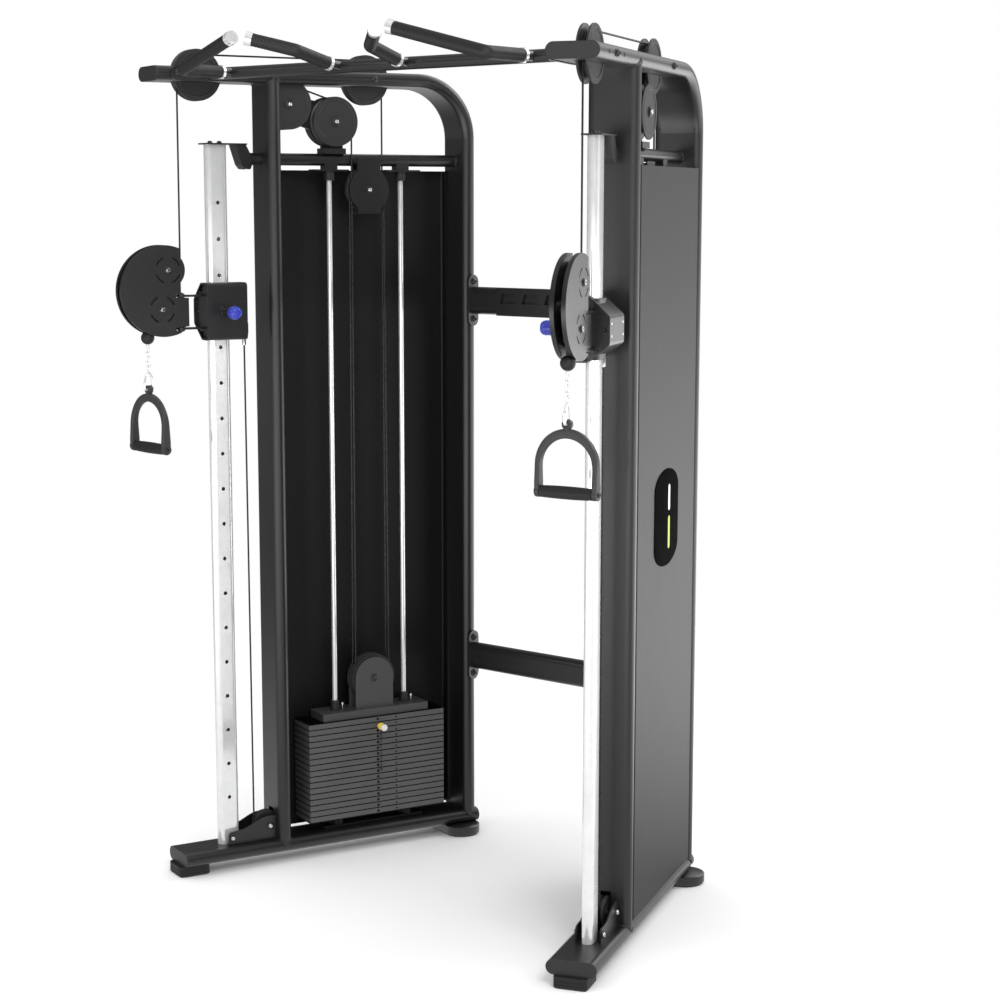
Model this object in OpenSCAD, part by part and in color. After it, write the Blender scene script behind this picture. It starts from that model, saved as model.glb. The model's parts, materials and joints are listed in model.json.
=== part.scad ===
// Dual stack cable crossover: two inclined towers, each with its own weight
// stack, cable, sliding carriage and swivelling pulley head, tied together by
// two rear crossbeams and a pull-up bar. Millimetres, +Z up, front is -Y.

/* [Frame] */
// distance from the centre plane to each slide column
tower_x = 658; // [630:1:700]
// angle by which each tower opens towards the front
tower_angle = 20; // [14:1:24]
// height of the centre of the top tube
top_z = 2254.5; // [2240:0.5:2300]
// width of the flat oval frame tube
tube_w = 132; // [124:1:136]
// thickness of the flat oval frame tube
tube_t = 40; // [38:1:42]
// wall of the frame tubes
wall = 3; // [2:0.5:4]
// centre line radius of the rear top bend
bend_r = 160; // [140:1:180]

/* [Slide column] */
// width of the chromed column, front to back
column_w = 64; // [60:1:66]
// thickness of the chromed column
column_t = 30; // [28:1:32]
// number of height holes
hole_count = 18; // [10:1:18]
// spacing of the height holes
hole_pitch = 100; // [80:1:100]
// diameter of the height holes
hole_d = 11; // [10.5:0.1:12]

/* [Weight stack] */
// wide plates in each stack
plate_count = 17; // [14:1:17]
// spacing of the plates
plate_pitch = 17.6; // [16:0.1:17.6]
// length of a wide plate
plate_l = 450; // [440:1:450]
// depth of a wide plate
plate_w = 106; // [100:1:108]
// diameter of the guide rods
rod_d = 15; // [14:0.5:16]
// distance between the guide rods
rod_gap = 230; // [220:1:240]

/* [Cable and pulleys] */
// diameter of the cable
cable_d = 5; // [4:0.5:5]
// diameter of the large pulleys
pulley_d = 140; // [134:1:140]
// radius at which the cable runs on a large pulley
pulley_rp = 55; // [53:1:57]
// diameter of the pulley axles
axle_d = 12; // [10:1:14]

/* [Handles and grips] */
// diameter of the stop ball on the cable
ball_d = 37; // [30:1:37]
// distance between the arms of a hand grip
handle_w = 142; // [120:1:144]
// diameter of the roller of a hand grip
roller_d = 31; // [26:1:34]
// diameter of the pull-up sleeves
sleeve_d = 33; // [29:1:36]
// diameter of the pull-up bar
bar_d = 32; // [28:1:34]
// diameter of the pop pin knob
knob_d = 37; // [30:1:40]

/* [Hidden] */
$fn = 48;
// running clearance on the radius
run = 0.05;
// free clearance between parts that only stand side by side
gap = 0.2;
// tower stations along u, the depth axis of a tower
post_u = 157;
rear_u = 777;
rail_u0 = -156;
rail_u1 = 806;
arch_u0 = -193;
rail_z = 51;
rail_top = rail_z + tube_t / 2;
bend_z = top_z - bend_r;
// pulley stations [u, z]
p_front = [-53, top_z];
p_back = [465, top_z];
p_link_a = [213, top_z - 73.5];
p_link_b = [358, top_z - 118.5];
p_hang = [465, top_z - 308.5];
p_base = [118, 112];
link_w = 19;
hang_w = -9.5;
hang_r = 66;
base_r = 40;
base_rp = 36;
front_wide = 32;
link_wide = 29;
// head tube and guide rods
head_z = top_z - 224.5;
head_d = 34;
stack_u = 465;
stack_z0 = 101.8;
stack_top = stack_z0 + plate_count * plate_pitch;
head_plate_t = 22.8;
head_plate_top = stack_top + gap + head_plate_t;
lift_n = 2;
pin_z = stack_top - 1.5 * plate_pitch;
pin_d = 8;
stem_d = 22;
p_lift_z = head_plate_top + 90.6;
rod_top = head_z - 32;
bar_strip_z = head_z - 32;
// column and carriage
column_top = top_z - 186.5;
hole_top = top_z - 344.5;
car_z = 1610;
car_u0 = -50;
car_u1 = 70;
band = 5;
plunger_d = 10;
pivot_u = -110;
pivot_d = 16;
clevis_z = [1564.5, 1654.5];
clevis_t = 5;
// swivel head
disc_c = [-166.5, 1669.5];
disc_r = 125.5;
up_c = [-154, 1726.5];
up_rp = 44;
low_c = [-172, 1619];
low_rp = 38;
side_in = 16;
side_t = 4;
cable_u = up_c[0] + up_rp;
hand_u = low_c[0] - low_rp;
ball_z = 1542;
eye_z = 1399;
handle_turn = -102;
arm_t = 13;
tail_u = 78;
// crossbeams
beam_x = 330;
beam_y = 712;
beam_z = [557, 1625];
beam_h = 80;
beam_t = 40;
// pull-up bar
bar_y = -58;
grip_a = [[516, bar_y, top_z], [517, -99, top_z], [519, -240, top_z], [269, -299, top_z + 67]];
grip_b = [[115, bar_y, top_z], [117, -100, top_z + 5], [128, -213, top_z + 34], [220, -294, top_z + 63]];

// ---------- placing ----------
// tower axes: x runs outwards (w), y runs backwards (u), z up
module right() {
  translate([tower_x, 0, 0]) rotate([0, 0, tower_angle]) children();
}

module left() {
  mirror([1, 0, 0]) right() children();
}

module both() {
  right() children();
  left() children();
}

module beside() {
  children();
  mirror([1, 0, 0]) children();
}

// ---------- shapes ----------
module oval(a, b) {
  square([a - b, b], center = true);
  translate([(a - b) / 2, 0]) circle(d = b);
  translate([(b - a) / 2, 0]) circle(d = b);
}

module oval_z(a, b, u, z0, z1) {
  translate([0, u, z0]) linear_extrude(z1 - z0) oval(a, b);
}

module oval_y(a, b, z, u0, u1) {
  translate([0, u1, z]) rotate([90, 0, 0]) linear_extrude(u1 - u0) oval(a, b);
}

// round bar along the tower's w axis
module across(u, z, w0, w1, d) {
  translate([w0, u, z]) rotate([0, 90, 0]) cylinder(d = d, h = w1 - w0);
}

// round bar along the tower's u axis
module along(w, z, u0, u1, d) {
  translate([w, u1, z]) rotate([90, 0, 0]) cylinder(d = d, h = u1 - u0);
}

// plate drawn in the u-z plane, between two w stations
module side_plate(w0, w1) {
  translate([w0, 0, 0]) rotate([90, 0, 90]) linear_extrude(w1 - w0) children();
}

module box(a, b) {
  translate(a) cube(b - a);
}

// round bar between two points
module strut(a, b, d) {
  v = b - a;
  translate(a) rotate([0, acos(v[2] / norm(v)), atan2(v[1], v[0])]) cylinder(d = d, h = norm(v));
}

// domed bolt head, base on z = 0
module dome(d, h) {
  cylinder(d = d, h = h * 0.4);
  translate([0, 0, h * 0.4]) cylinder(d1 = d, d2 = d * 0.6, h = h * 0.6);
}

// bolt through a tower along w, heads outside w0 and w1
module through_bolt(u, z, w0, w1, d, head) {
  across(u, z, w0, w1, d);
  translate([w1, u, z]) rotate([0, 90, 0]) dome(head, head * 0.4);
  translate([w0, u, z]) rotate([0, -90, 0]) dome(head, head * 0.4);
}

// corner points of a polygon with its corners rounded off
function unit(v) = v / norm(v);
function corner(a, b, c, r, n) =
  let (p = unit(a - b), q = unit(c - b))
  let (h = acos(p * q) / 2, t = r / tan(h), m = b + unit(p + q) * (r / sin(h)))
  let (s = b + p * t - m, e = b + q * t - m)
  [for (i = [0 : n]) let (k = i / n) m + r * unit(s * sin((1 - k) * (90 - h) * 2)
    + e * sin(k * (90 - h) * 2))];
function soft(p, r, n = 5) =
  [for (i = [0 : len(p) - 1])
    each corner(p[(i + len(p) - 1) % len(p)], p[i], p[(i + 1) % len(p)], r, n)];

// grooved pulley, axis along w, centred on w = 0
module pulley(r, rp, wide, bore) {
  h = wide / 2;
  g = cable_d / 2 + 0.25;
  lip = min(h - 3, 3 + (r - rp) * 0.45);
  ring = r * 0.81;
  hub = min(15, r * 0.4);
  rotate([0, 90, 0]) rotate_extrude($fn = 96) polygon([
    [bore / 2, -h], [hub, -h], [hub, 1.5 - h], [ring - 1, 1.5 - h], [ring, -h], [ring + 1.5, -h],
    [ring + 2, 0.8 - h], [r - 1, 0.8 - h], [r, 2 - h], [r, -lip], [rp - g, -g - 0.3],
    [rp - g, g + 0.3], [r, lip], [r, h - 2], [r - 1, h - 0.8], [ring + 2, h - 0.8],
    [ring + 1.5, h], [ring, h], [ring - 1, h - 1.5], [hub, h - 1.5], [hub, h], [bore / 2, h]]);
}

module pulley_at(p, w, r, rp, wide) {
  translate([w, p[0], p[1]]) pulley(r, rp, wide, axle_d + 2 * run);
}

// ---------- frame ----------
module rail_solid(extra) {
  oval_y(tube_w - extra, tube_t - extra, rail_z, rail_u0 + 6, rail_u1 - 6);
}

module tube_section() {
  difference() {
    oval(tube_w, tube_t);
    oval(tube_w - 2 * wall, tube_t - 2 * wall);
  }
}

module arch_tube() {
  u1 = rear_u - bend_r;
  translate([0, u1, top_z]) rotate([90, 0, 0]) linear_extrude(u1 - arch_u0 - 6) tube_section();
  translate([0, u1, bend_z]) rotate([0, 90, 0]) rotate([0, 0, 90])
    rotate_extrude(angle = 90) translate([bend_r, 0]) rotate(90) tube_section();
  translate([0, rear_u, rail_z]) linear_extrude(bend_z - rail_z) tube_section();
}

module pulley_slot(p) {
  box([-front_wide / 2 - 3, p[0] - pulley_d / 2 - 5, p[1] - tube_t],
    [front_wide / 2 + 3, p[0] + pulley_d / 2 + 5, p[1] + tube_t]);
}

module base_rails() {
  color("#1d1e20") both() difference() {
    rail_solid(0);
    translate([0, -10, 0]) scale([1, 1.05, 1]) rail_solid(2 * wall);
    across(p_base[0], rail_top, -13, 13, 70);
  }
}

module front_posts() {
  color("#232427") both() difference() {
    oval_z(tube_w, tube_t, post_u, rail_z, top_z);
    oval_z(tube_w - 2 * wall, tube_t - 2 * wall, post_u, 0, top_z + 9);
    rail_solid(-0.1);
    oval_y(tube_w + 0.1, tube_t + 0.1, top_z, 0, 400);
    // window for the link pulley
    box([-link_w - link_wide / 2 - 2, post_u, p_link_a[1] - pulley_d / 2 - 6],
      [link_w + link_wide / 2 + 2, post_u + tube_t, top_z]);
    // window for the base pulley
    box([-14, post_u - tube_t, 0], [14, post_u, p_base[1] + base_r + 6]);
    across(p_base[0], p_base[1], -14, 14, 2 * base_r + 6);
  }
}

module top_arches() {
  color("#232427") both() difference() {
    arch_tube();
    rail_solid(-0.1);
    pulley_slot(p_front);
    pulley_slot(p_back);
    for (p = [p_front, p_back]) across(p[0], p[1], -80, 80, axle_d + 0.1);
    for (u = [-132, 48]) across(u, top_z, -80, 0, 8.1);
    // opening in the underside over the front link pulley
    box([-link_w - link_wide / 2 - 2, p_link_a[0] - 55, top_z - tube_t / 2 - 1],
      [link_w + link_wide / 2 + 2, p_link_a[0] + 55, top_z]);
  }
}

module end_caps() {
  color("#2a2b2e") both() {
    // front and rear ends of the base rail
    oval_y(tube_w, tube_t, rail_z, rail_u0, rail_u0 + 6);
    oval_y(tube_w - 2 * wall - 1, tube_t - 2 * wall - 1, rail_z, rail_u0 + 5, rail_u0 + 24);
    oval_y(tube_w, tube_t, rail_z, rail_u1 - 6, rail_u1);
    // front end of the top tube
    oval_y(tube_w, tube_t, top_z, arch_u0 + 2, arch_u0 + 6);
    oval_y(tube_w - 4, tube_t - 4, top_z, arch_u0, arch_u0 + 3);
    oval_y(tube_w - 2 * wall - 1, tube_t - 2 * wall - 1, top_z, arch_u0 + 5, arch_u0 + 24);
  }
}

module feet() {
  z1 = rail_z - tube_t / 2;
  color("#303134") both() {
    // front pad, stepped
    translate([0, -84.5, 0]) linear_extrude(z1)
      polygon(soft([[-45, -47], [45, -47], [45, 47], [-45, 47]], 6));
    // rear levelling foot: plate on a rubber disc
    translate([0, 750, 6]) linear_extrude(z1 - 6) oval(218, 108);
    translate([0, 750, 0]) linear_extrude(6.01) oval(208, 98);
  }
}

module columns() {
  color("#d9dbde") both() difference() {
    translate([0, 0, rail_top]) linear_extrude(column_top - rail_top) rotate(90) oval(column_w, column_t);
    translate([0, 0, rail_top - 1]) linear_extrude(column_top - rail_top + 2) rotate(90)
      oval(column_w - 6, column_t - 6);
    for (i = [0 : hole_count - 1]) across(0, hole_top - i * hole_pitch, -column_t, 0, hole_d);
    for (z = [hole_top + 36, 262 - 50]) across(14, z, 0, column_t, 5.2);
    across(-1, 91, -column_t, column_t, 8.1);
  }
}

module column_brackets() {
  color("#222326") both() {
    // cap plate, two gussets and the stub that joins the front post
    difference() {
      union() {
        box([-26, -38, column_top + 0.05], [26, 87, column_top + 4]);
        for (s = [-1, 1]) side_plate(s * 20 - 2.5, s * 20 + 2.5)
          polygon([[52, column_top + 1], [84, column_top + 1], [98, column_top - 25],
            [102, column_top - 56], [97, column_top - 67], [80, column_top - 66], [70, column_top - 54]]);
        // sloping face between the gussets
        side_plate(-20, 20)
          polygon([[52, column_top + 1], [58, column_top + 1], [76, column_top - 54], [85, column_top - 66],
            [80, column_top - 66], [70, column_top - 54]]);
        difference() {
          along(0, head_z, 80, post_u - tube_t / 2 - 0.05, head_d);
          along(0, head_z, 90, 200, head_d - 2 * wall);
        }
      }
      for (u = [-14, 14]) translate([0, u, 0]) cylinder(d = 8.1, h = column_top + 20);
    }
    // plug inside the column that takes the cap bolts
    difference() {
      translate([0, 0, column_top - 20]) linear_extrude(19.9) rotate(90) oval(column_w - 6.2, column_t - 6.2);
      for (u = [-14, 14]) translate([0, u, 0]) cylinder(d = 8.1, h = column_top + 20);
    }
  }
}

module head_tubes() {
  u0 = post_u + tube_t / 2 + 0.05;
  u1 = rear_u - tube_t / 2 - 0.05;
  color("#1f2023") both() {
    difference() {
      union() {
        along(0, head_z, u0, u1, head_d);
        // saddles under the tube that carry the rod strips
        for (s = [-1, 1]) box([-15, stack_u + s * rod_gap / 2 - 20, bar_strip_z],
          [15, stack_u + s * rod_gap / 2 + 20, head_z]);
        for (s = [-1, 1]) box([-20, stack_u + s * rod_gap / 2 - 55, bar_strip_z],
          [20, stack_u + s * rod_gap / 2 + 55, bar_strip_z + 5]);
      }
      along(0, head_z, u0 - 1, u1 + 1, head_d - 2 * wall);
      for (s = [-1, 1]) translate([0, stack_u + s * rod_gap / 2, bar_strip_z - 1])
        cylinder(d = rod_d + 0.1, h = 9);
      // way for the two outer falls of the cable
      translate([0, p_back[0] + pulley_rp, head_z - 30]) cylinder(d = 9, h = 60);
      translate([-link_w, p_link_b[0] + pulley_rp, head_z - 30]) cylinder(d = 7.5, h = 60);
    }
  }
}

module guide_rods() {
  color("#d9dbde") both() for (s = [-1, 1])
    translate([0, stack_u + s * rod_gap / 2, rail_top + 1]) cylinder(d = rod_d, h = rod_top + 7 - rail_top);
}

module rod_collars() {
  color("#26272a") both() {
    for (s = [-1, 1]) translate([0, stack_u + s * rod_gap / 2, 0]) {
      // clamp collar under the head tube
      difference() {
        translate([0, 0, bar_strip_z - 26]) cylinder(d = 31, h = 25.9);
        translate([0, 0, bar_strip_z - 30]) cylinder(d = rod_d + 0.1, h = 40);
      }
      // rubber bumper under the stack
      difference() {
        translate([0, 0, rail_top + 6.1]) cylinder(d1 = 40, d2 = 34, h = stack_z0 - rail_top - 6.2);
        translate([0, 0, rail_top]) cylinder(d = rod_d + 0.1, h = 60);
      }
    }
    // strip on the rail that carries the rods
    difference() {
      box([-22, stack_u - 165, rail_top + 0.1], [22, stack_u + 165, rail_top + 6]);
      for (s = [-1, 1]) translate([0, stack_u + s * rod_gap / 2, rail_top]) cylinder(d = rod_d + 0.1, h = 9);
    }
  }
}

// side of the guard over the base pulley, in the u-z plane
module guard_side() {
  polygon(concat(
    [[-13, rail_top], [-13, 98]],
    [for (a = [0 : 15 : 90]) [-1 - 12 * cos(a), 98 + 12 * sin(a)]],
    [for (i = [0 : 10]) [18 + i * 9.6, 111 + 15 * (1 - cos(i * 18))]],
    [[post_u - tube_t / 2 - 0.1, 141], [post_u - tube_t / 2 - 0.1, rail_top]]));
}

module pulley_brackets() {
  color("#242528") both() {
    // base guard: two sides and a spacer
    difference() {
      union() {
        for (s = [-1, 1]) side_plate(s * 32.5 - 2, s * 32.5 + 2) guard_side();
        box([-33, 60, rail_top + 0.1], [33, 74, rail_top + 4]);
      }
      across(p_base[0], p_base[1], -50, 50, axle_d + 0.1);
      across(-1, 91, -50, 50, 8.1);
    }
    // link plate between the two guide pulleys, standing on the head tube
    difference() {
      union() {
        side_plate(-4, 4) {
          for (p = [p_link_a, p_link_b]) translate(p) circle(r = 42);
          polygon([p_link_a + [-12, 40], p_link_b + [12, 40], p_link_b + [-12, -40], p_link_a + [-12, -40]]);
          polygon([[325, p_link_b[1]], [393, p_link_b[1]], [393, head_z + 5], [325, head_z + 5]]);
        }
        box([-24, 325, head_z + head_d / 2 - 1], [24, 393, p_link_b[1] - pulley_d / 2 - 4]);
      }
      for (p = [p_link_a, p_link_b]) across(p[0], p[1], -50, 50, axle_d + 0.1);
      along(0, head_z, 100, 700, head_d + 0.1);
      oval_z(tube_w + 0.1, tube_t + 0.1, post_u, 1000, 3000);
    }
    // hanger for the pulley above the stack
    difference() {
      union() {
        for (w = [-25.5, 6.5]) side_plate(w - 2, w + 2) {
          translate(p_hang) circle(r = 63);
          translate(p_hang + [-37, -68]) square([74, 68 + head_z + 6 - p_hang[1]]);
        }
        // block that joins the inner cheek to the tube
        box([-27.5, stack_u - 37, head_z - 14], [-8, stack_u + 37, head_z + 6]);
      }
      across(p_hang[0], p_hang[1], -50, 50, axle_d + 0.1);
      along(0, head_z, 100, 700, head_d + 0.1);
    }
  }
}

module shroud_outline(inset) {
  o = 62.5 - inset;
  polygon(soft([[30, 180 + inset], [o, 180 + inset], [o, 754 - inset], [30, 754 - inset]], 6, 4));
}

module shrouds() {
  z0 = rail_top + 4;
  z1 = head_z - 29;
  color("#3a3b3e") both() difference() {
    translate([0, 0, z0]) linear_extrude(z1 - z0) shroud_outline(0);
    translate([0, 0, z0 - 1]) linear_extrude(z1 - z0 + 2) shroud_outline(2.5);
    box([0, 0, 0], [37, 900, 3000]);
  }
}

module badges() {
  color("#0c0c0d") both() translate([62.55, 457, 1091]) rotate([90, 0, 90]) linear_extrude(2) {
    square([234, 150], center = true);
    for (s = [-1, 1]) translate([0, s * 75]) scale([1, 0.46]) circle(d = 234);
  }
}

module beam_flange(z) {
  translate([-beam_x, beam_y, z]) rotate([0, 90, 0]) linear_extrude(8)
    difference() {
      oval(150, 44);
      for (s = [-1, 1]) translate([s * 55, 0]) circle(d = 10.1);
    }
}

module crossbeams() {
  color("#202124") {
    difference() {
      union() {
        for (z = beam_z) {
          translate([-beam_x + 1, beam_y, z]) rotate([0, 90, 0]) linear_extrude(2 * beam_x - 2)
            oval(beam_h, beam_t);
          beside() beam_flange(z);
        }
        // accessory rail on the front of the upper beam
        difference() {
          box([-207, beam_y - beam_t / 2 - 14, beam_z[1] - 40],
            [207, beam_y - beam_t / 2 + 1, beam_z[1] + 40]);
          for (i = [-2 : 2]) translate([i * 82, beam_y - beam_t / 2 + 1, beam_z[1]]) rotate([90, 0, 0])
            translate([0, 0, 5]) linear_extrude(20) polygon([[-30, -4], [30, -4], [22, 24], [-22, 24]]);
        }
      }
      for (z = beam_z) translate([-beam_x - 1, beam_y, z]) rotate([0, 90, 0])
        linear_extrude(2 * beam_x + 2) oval(beam_h - 2 * wall, beam_t - 2 * wall);
      both() oval_z(tube_w + 0.1, tube_t + 0.1, rear_u, 0, 3000);
    }
  }
}

module bolts() {
  color("#8f9296") {
    both() {
      through_bolt(p_back[0], p_back[1], -tube_w / 2 - 0.1, tube_w / 2 + 0.1, axle_d, 22);
      // the front bolt has a low inner head, behind the pull-up bar
      across(p_front[0], p_front[1], -tube_w / 2 - 0.1, tube_w / 2 + 0.1, axle_d);
      translate([tube_w / 2 + 0.1, p_front[0], p_front[1]]) rotate([0, 90, 0]) dome(22, 9);
      translate([-tube_w / 2 - 0.1, p_front[0], p_front[1]]) rotate([0, -90, 0]) dome(20, 5);
      for (p = [p_link_a, p_link_b]) through_bolt(p[0], p[1], -35, 35, axle_d, 18);
      through_bolt(p_hang[0], p_hang[1], -27.7, 8.7, axle_d, 18);
      through_bolt(p_base[0], p_base[1], -34.7, 34.7, axle_d, 18);
      through_bolt(-1, 91, -34.7, 34.7, 8, 15);
      for (u = [-14, 14]) translate([0, u, column_top - 20]) {
        cylinder(d = 8, h = 24.1);
        translate([0, 0, 24.1]) dome(14, 6);
      }
      for (u = [-132, 48]) translate([-74.2, u, top_z]) {
        rotate([0, 90, 0]) cylinder(d = 8, h = 14);
        rotate([0, -90, 0]) dome(16, 6);
      }
      for (z = [hole_top + 36, 262 - 50]) across(14, z, column_t / 2 - 3.2, column_t / 2 - 0.2, 5);
    }
    beside() for (z = beam_z, s = [-1, 1]) translate([-beam_x, beam_y, z + s * 55]) {
      translate([8.1, 0, 0]) rotate([0, 90, 0]) dome(20, 9);
      translate([1.2, 0, 0]) rotate([0, 90, 0]) cylinder(d = 10, h = 8);
    }
  }
}

// ---------- pull-up bar ----------
function part_way(a, b, d) = a + (b - a) * d / norm(b - a);

module grip_core(g) {
  strut(g[0], g[1], 25);
  strut(g[1], g[2], 25);
  strut(g[2], g[3], 25);
  translate(g[1]) sphere(d = 25.6);
  translate(g[2]) sphere(d = 25.6);
}

module grip_skin(g, d) {
  strut(part_way(g[1], g[2], 8), g[2], d);
  strut(g[2], part_way(g[3], g[2], 14), d);
  translate(g[2]) sphere(d = d + 0.8);
}

module pullup_bar() {
  color("#1f2023") {
    difference() {
      translate([-tower_x, bar_y, top_z]) rotate([0, 90, 0]) cylinder(d = bar_d, h = 2 * tower_x);
      both() box([-72, -500, 1000], [500, 900, 3000]);
    }
    beside() {
      grip_core(grip_a);
      grip_core(grip_b);
    }
    // end plates bolted to the inner edges of the top tubes
    both() difference() {
      side_plate(-74, -tube_w / 2 - 0.1) translate([-42, top_z]) oval(226, 38);
      for (u = [-132, 48]) across(u, top_z, -80, 0, 8.1);
      across(p_front[0], top_z, -80, 0, 24);
    }
  }
}

module grip_sleeves() {
  color("#17181a") beside() {
    for (g = [grip_a, grip_b]) difference() {
      grip_skin(g, sleeve_d);
      grip_core(g);
    }
  }
}

module grip_caps() {
  color("#e4e6e8") beside() for (g = [grip_a, grip_b]) {
    // polished end cap
    difference() {
      strut(part_way(g[3], g[2], 13.9), part_way(g[3], g[2], -4), sleeve_d + 2);
      strut(g[2], g[3], 25.1);
    }
    // collar at the root
    difference() {
      strut(g[1], part_way(g[1], g[2], 7.9), sleeve_d + 3);
      strut(part_way(g[1], g[2], -20), g[2], 25.1);
      translate(g[1]) sphere(d = 26);
    }
  }
}

// ---------- weight stack ----------
module wide_plate(i) {
  z = stack_z0 + i * plate_pitch;
  difference() {
    translate([0, stack_u, z]) linear_extrude(plate_pitch - gap)
      polygon(soft([[-plate_w / 2, -plate_l / 2], [plate_w / 2, -plate_l / 2],
        [plate_w / 2, plate_l / 2], [-plate_w / 2, plate_l / 2]], 4, 3));
    for (s = [-1, 1]) translate([0, stack_u + s * rod_gap / 2, z - 1])
      cylinder(d = rod_d + 2 * run, h = plate_pitch + 2);
    translate([0, stack_u, z - 1]) cylinder(d = stem_d + 2, h = plate_pitch + 2);
    across(stack_u, z + plate_pitch / 2, -plate_w, 0, pin_d + 1.2);
  }
}

module weight_plates() {
  color("#141416") both() for (i = [0 : plate_count - lift_n - 1]) wide_plate(i);
}

module lift_plates() {
  for (i = [plate_count - lift_n : plate_count - 1]) wide_plate(i);
}

module lift_head() {
  z0 = stack_top + gap;
  difference() {
    union() {
      translate([0, stack_u, z0]) linear_extrude(head_plate_t)
        polygon(soft([[-46, -175], [46, -175], [46, 175], [-46, 175]], 5, 3));
      // selector stem
      translate([0, stack_u, stack_z0 + 6]) cylinder(d = stem_d, h = z0 - stack_z0 - 5);
      // cheeks around the lift pulleys
      for (w = [-31, 12]) side_plate(w - 2, w + 2) {
        translate([stack_u, p_lift_z]) circle(r = 62);
        translate([stack_u - 62, head_plate_top - 1]) square([124, p_lift_z - head_plate_top + 1]);
      }
      across(stack_u, p_lift_z, -33, 14, axle_d);
      translate([14, stack_u, p_lift_z]) rotate([0, 90, 0]) dome(18, 7);
      translate([-33, stack_u, p_lift_z]) rotate([0, -90, 0]) dome(18, 7);
    }
    for (s = [-1, 1]) translate([0, stack_u + s * rod_gap / 2, 0]) cylinder(d = rod_d + 2 * run, h = 900);
    for (i = [0 : plate_count - 1])
      across(stack_u, stack_z0 + (i + 0.5) * plate_pitch, -20, 20, pin_d + 2 * run);
  }
}

module selector_pin() {
  // steel pin with its grip, turned about w
  translate([12, stack_u, pin_z]) rotate([0, -90, 0]) rotate_extrude() polygon([[0, 1],
    [pin_d / 2 - 1, 1], [pin_d / 2, 2], [pin_d / 2, 73], [7.5, 74], [7.5, 84], [10.5, 85], [10.5, 88],
    [7.5, 89], [7.5, 101], [10, 102], [10, 108], [8, 110], [0, 110]]);
  // safety cord with its weight
  translate([-74.5, stack_u, pin_z - 122]) cylinder(d = 2.6, h = 114);
  translate([-74.5, stack_u, pin_z - 134]) cylinder(d = 9, h = 14);
}

// ---------- carriage ----------
function band_pts(i) = [[-47 + i, 1531 + i], [-47 + i, 1690 - i], [2 - i * 0.35, 1690 - i],
  [54 - i, 1643 - i * 0.45], [54 - i, 1575 + i * 0.45], [-2 - i * 0.35, 1531 + i]];

module band_solid(i, u0, u1) {
  translate([0, u1, 0]) rotate([90, 0, 0]) linear_extrude(u1 - u0)
    polygon(soft(band_pts(i), 12 - i, 4));
}

module carriage() {
  difference() {
    union() {
      // bent band
      difference() {
        band_solid(0, car_u0, car_u1);
        band_solid(band, car_u0 - 1, car_u1 + 1);
      }
      // front and rear webs
      band_solid(1, car_u0 + 8, car_u0 + 14);
      band_solid(1, car_u1 - 12, car_u1 - 6);
      // column sleeve
      translate([0, 0, 1537]) linear_extrude(1684 - 1537) rotate(90) oval(column_w + 22, column_t + 14);
      // boss and barrel of the pop pin
      across(0, car_z, -48, -18, 34);
      across(0, car_z, -79, -47, 24);
      across(0, car_z, -58, -47, 34);
      // tongues of the swivel clevis
      for (z = clevis_z) {
        box([-15, pivot_u, z - clevis_t / 2], [15, car_u0 + 10, z + clevis_t / 2]);
        translate([0, pivot_u, z - clevis_t / 2]) cylinder(r = 15, h = clevis_t);
      }
      // lug for the cable end
      box([-9, car_u1 - 8, 1545], [9, tail_u + 10, 1575]);
      across(tail_u, 1560, -14, 14, 10);
      // clamp screws on the front web and on the inner face
      for (p = [[18, 1662], [-30, 1545], [-30, 1674], [18, 1558], [38, 1610]])
        translate([p[0], car_u0 + 8.1, p[1]]) rotate([90, 0, 0]) dome(11, 5);
    }
    // way for the column
    translate([0, 0, 1500]) linear_extrude(230) rotate(90) oval(column_w + 2 * run, column_t + 2 * run);
    // bore of the pop pin
    across(0, car_z, -100, 0, plunger_d + 2 * run);
    // four small holes in each side face
    for (u = [-38, 58], z = [-15, 15]) {
      across(u, car_z + z, -60, -45, 4);
      across(u, car_z + z, 45, 60, 4);
    }
    translate([0, tail_u, 1500]) cylinder(d = cable_d + 0.4, h = 58);
  }
  // swivel pin
  translate([0, pivot_u, clevis_z[0] - 2]) cylinder(d = pivot_d, h = clevis_z[1] - clevis_z[0] + 4);
  translate([0, pivot_u, clevis_z[1] + 2]) dome(22, 7);
  translate([0, pivot_u, clevis_z[0] - 2]) rotate([180, 0, 0]) dome(22, 7);
}

module pop_pin() {
  // drawn 8.5 mm out, so that the nose stands just clear of the column
  across(0, car_z, -92, -column_t / 2 - 0.6, plunger_d);
  across(0, car_z, -100, -88, 18);
  // round knob
  translate([-98, 0, car_z]) rotate([0, -90, 0]) rotate_extrude($fn = 64) polygon([[0, 0],
    [knob_d * 0.32, 0], [knob_d * 0.46, 6], [knob_d * 0.5, 14], [knob_d * 0.5, 22],
    [knob_d * 0.44, 30], [knob_d * 0.3, 35], [0, 37]]);
}

// ---------- swivel head ----------
module arc_slots(p) {
  translate(p) difference() {
    circle(r = 37.5);
    circle(r = 33.5);
    for (a = [0, 90]) rotate(a) square([100, 26], center = true);
  }
}

module head_outline() {
  intersection() {
    translate(disc_c) circle(r = disc_r, $fn = 128);
    translate([disc_c[0] - 200, disc_c[1] - 200]) square([200 + disc_c[0] * -1 - 117, 400]);
  }
  translate(up_c) circle(r = 50);
  translate([-125, 1571]) square([31, 79]);
}

module head_cheek(w0) {
  difference() {
    side_plate(w0, w0 + side_t) difference() {
      head_outline();
      arc_slots(up_c);
      arc_slots(low_c);
    }
    for (z = clevis_z) translate([0, pivot_u, z - clevis_t / 2 - 2]) cylinder(r = 30, h = clevis_t + 4);
  }
}

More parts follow.
